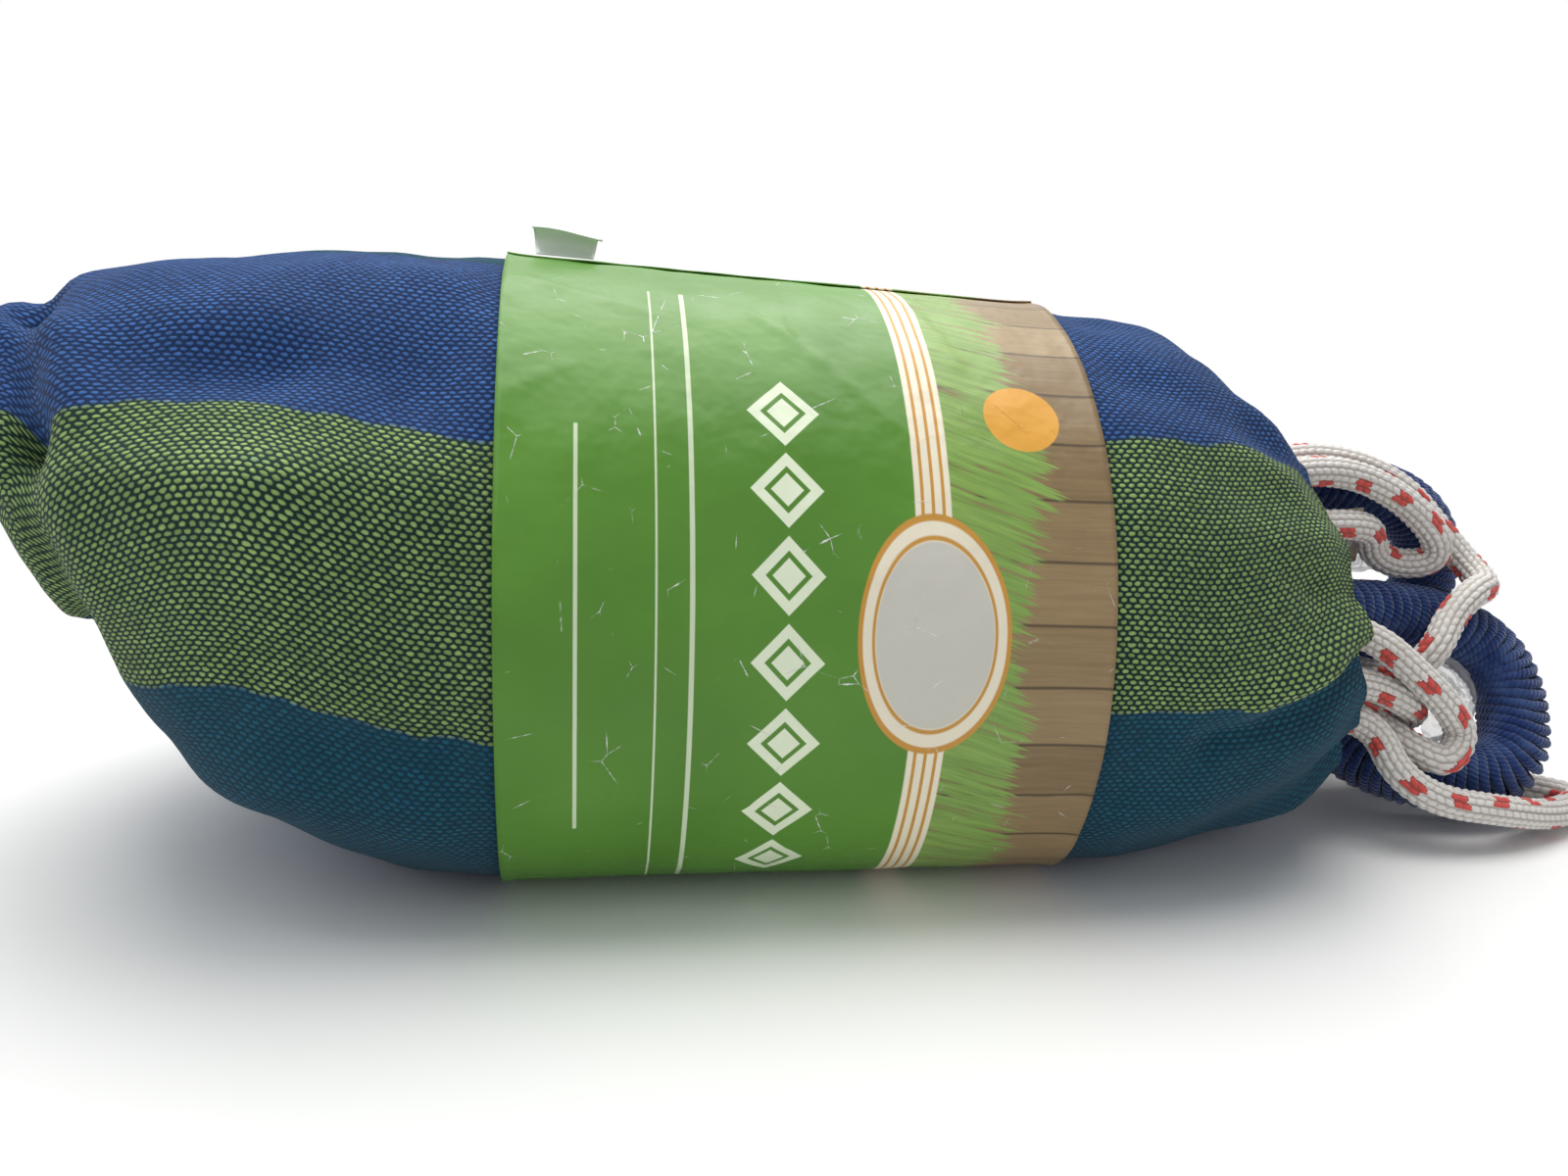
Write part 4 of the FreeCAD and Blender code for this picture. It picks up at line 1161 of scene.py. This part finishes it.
class HAMMOCK_OT_wrappings(bpy.types.Operator):
    """Adds the crumpled clear film in the front eye and the folded leaflet behind the ropes"""
    bl_idname = "hammock.wrappings"
    bl_label = "Film and leaflet"

    def execute(self, context):
        self.film()
        self.leaflet()
        return {"FINISHED"}

    def film(self):
        slope = Vector((0, math.sin(EYE_LEAN), math.cos(EYE_LEAN)))
        normal = Vector((0, -math.cos(EYE_LEAN), math.sin(EYE_LEAN)))
        centre = Vector(eye_point(-12, 27))
        mesh = bmesh.new()

        def crescent(u, v):
            angle = math.radians(-85 + 170 * v)
            crush = 0.7 * noise.noise(Vector((u * 6, v * 14, 0)))
            radius = 11.2 + crush - 1.2 * abs(math.sin(7 * u + 3 * v))
            point = (centre + Vector((1, 0, 0)) * (radius * math.cos(angle)) + slope * (radius * math.sin(angle))
                     + normal * (12 * (u - 0.5)))
            return point * MM, (u * 13 * MM, v * 34 * MM), 0.0

        def ribbon(start, end, wide, seed):
            def place(u, v):
                point = Vector(start).lerp(Vector(end), v)
                crush = noise.noise(Vector((u * 3, v * 7, seed)))
                point += Vector((0, -0.35, 0.9)) * (wide * (u - 0.5)) + Vector((0, 1, 0.3)) * (1.6 * crush)
                return point * MM, (u * wide * MM, v * 40 * MM), 0.0
            return place

        def crumple(u, v):
            angle = math.radians(-110 + 185 * v)
            radius = 1.5 + 9.6 * u
            crush = noise.noise(Vector((u * 4, v * 6, 2)))
            point = (centre + Vector((1, 0, 0)) * (1 + radius * math.cos(angle)) + slope * (radius * math.sin(angle))
                     + normal * (1.8 * crush - 2.5))
            return point * MM, (u * 10 * MM, v * 20 * MM), 0.0

        wrapped_grid(mesh, 26, 60, crescent)
        wrapped_grid(mesh, 20, 40, crumple)
        for start, end, wide, seed in (((98, -12, 24), (133, -20, 19), 6, 2.0), ((98, -6, 20), (137, -12, 14), 5, 5.0),
                                       ((96, -9, 66), (128, -7, 70), 8, 9.0), ((112, 3, 56), (140, 5, 62), 9, 4.0),
                                       ((128, 10, 64), (157, 10.5, 65), 11, 6.0)):
            wrapped_grid(mesh, 12, 40, ribbon(start, end, wide, seed))
        paint = Paint("clear_film")
        crinkle = paint.creases(paint.space(), 0.35)
        fine = paint.noise(paint.space(), 0.5, 4.0, 0.6)
        height = paint.math("MULTIPLY_ADD", fine, 0.6, crinkle)
        material = paint.finish(Base_Color=tint("e9eaea"), Roughness=0.12, IOR=1.45, Transmission_Weight=0.45,
                                Alpha=0.7, Normal=paint.bump(height, 0.9 * MM, 0.9))
        piece("crumpled_film", mesh, material, nodes=["clear_film"])

    def leaflet(self):
        width, height = 34, 15
        mesh = bmesh.new()

        def place(u, v):
            spot = Vector((u * 4, v * 3, 1.0))
            crush = 1.3 * noise.noise(spot) + 0.5 * noise.noise(spot * 3)
            fold = 1.4 * abs(((v * 3) % 1) - 0.5)
            point = Vector((114 + width * u, 6.6 + 2.6 * u + crush * 0.8 + fold * (1 - 0.4 * u),
                            60 + 3.5 * u + height * v))
            return point * MM, (u * width * MM, v * height * MM), 0.0

        wrapped_grid(mesh, 40, 26, place)
        paint = Paint("leaflet_paper")
        fibre = paint.noise(paint.space(), 0.8, 5.0, 0.6)
        folds = paint.creases(paint.space(), 0.22)
        # Painted shade: the paper darkens along its creases, where the bump sinks, and its tone varies with its fibre.
        tone = paint.mix(paint.math("MULTIPLY_ADD", fibre, 0.5, paint.step(folds, 0.12, 0.0)), tint("e2d9c6"),
                         tint("a99c86"))
        item = piece("crumpled_leaflet", mesh, paint.finish(
            Base_Color=tone, Roughness=0.8, Normal=paint.bump(paint.math("ADD", folds, fibre), 0.5 * MM, 0.6)),
            nodes=["folded_leaflet"])
        thicken(item, "paper", 0.3 * MM)


class HAMMOCK_PT_panel(bpy.types.Panel):
    """Lists the hammock's sizes, colours and pieces"""
    bl_idname = "HAMMOCK_PT_panel"
    bl_label = "Packed hammock"
    bl_space_type = "VIEW_3D"
    bl_region_type = "UI"
    bl_category = "Hammock"

    def draw(self, context):
        for title, group in (("Cloth", context.scene.hammock_cloth), ("Rope", context.scene.hammock_rope),
                             ("Card", context.scene.hammock_card)):
            box = self.layout.box()
            box.label(text=title)
            for name in group.__annotations__:
                box.prop(group, name)
        for operator in OPERATORS:
            self.layout.operator(operator.bl_idname)


GROUPS = {"hammock_cloth": HammockCloth, "hammock_rope": HammockRope, "hammock_card": HammockCard}
OPERATORS = (HAMMOCK_OT_stage, HAMMOCK_OT_ropes, HAMMOCK_OT_hanks, HAMMOCK_OT_eyes, HAMMOCK_OT_necks,
             HAMMOCK_OT_bag, HAMMOCK_OT_bed, HAMMOCK_OT_sleeve, HAMMOCK_OT_wrappings)


def register():
    for group in GROUPS.values():
        bpy.utils.register_class(group)
    for name, group in GROUPS.items():
        setattr(bpy.types.Scene, name, PointerProperty(type=group))
    for operator in (*OPERATORS, HAMMOCK_PT_panel):
        bpy.utils.register_class(operator)


def unregister():
    for operator in reversed((*OPERATORS, HAMMOCK_PT_panel)):
        bpy.utils.unregister_class(operator)
    for name, group in GROUPS.items():
        delattr(bpy.types.Scene, name)
        bpy.utils.unregister_class(group)


def main():
    register()
    for operator in OPERATORS:
        group, name = operator.bl_idname.split(".")
        getattr(getattr(bpy.ops, group), name)()


if __name__ == "__main__":
    main()
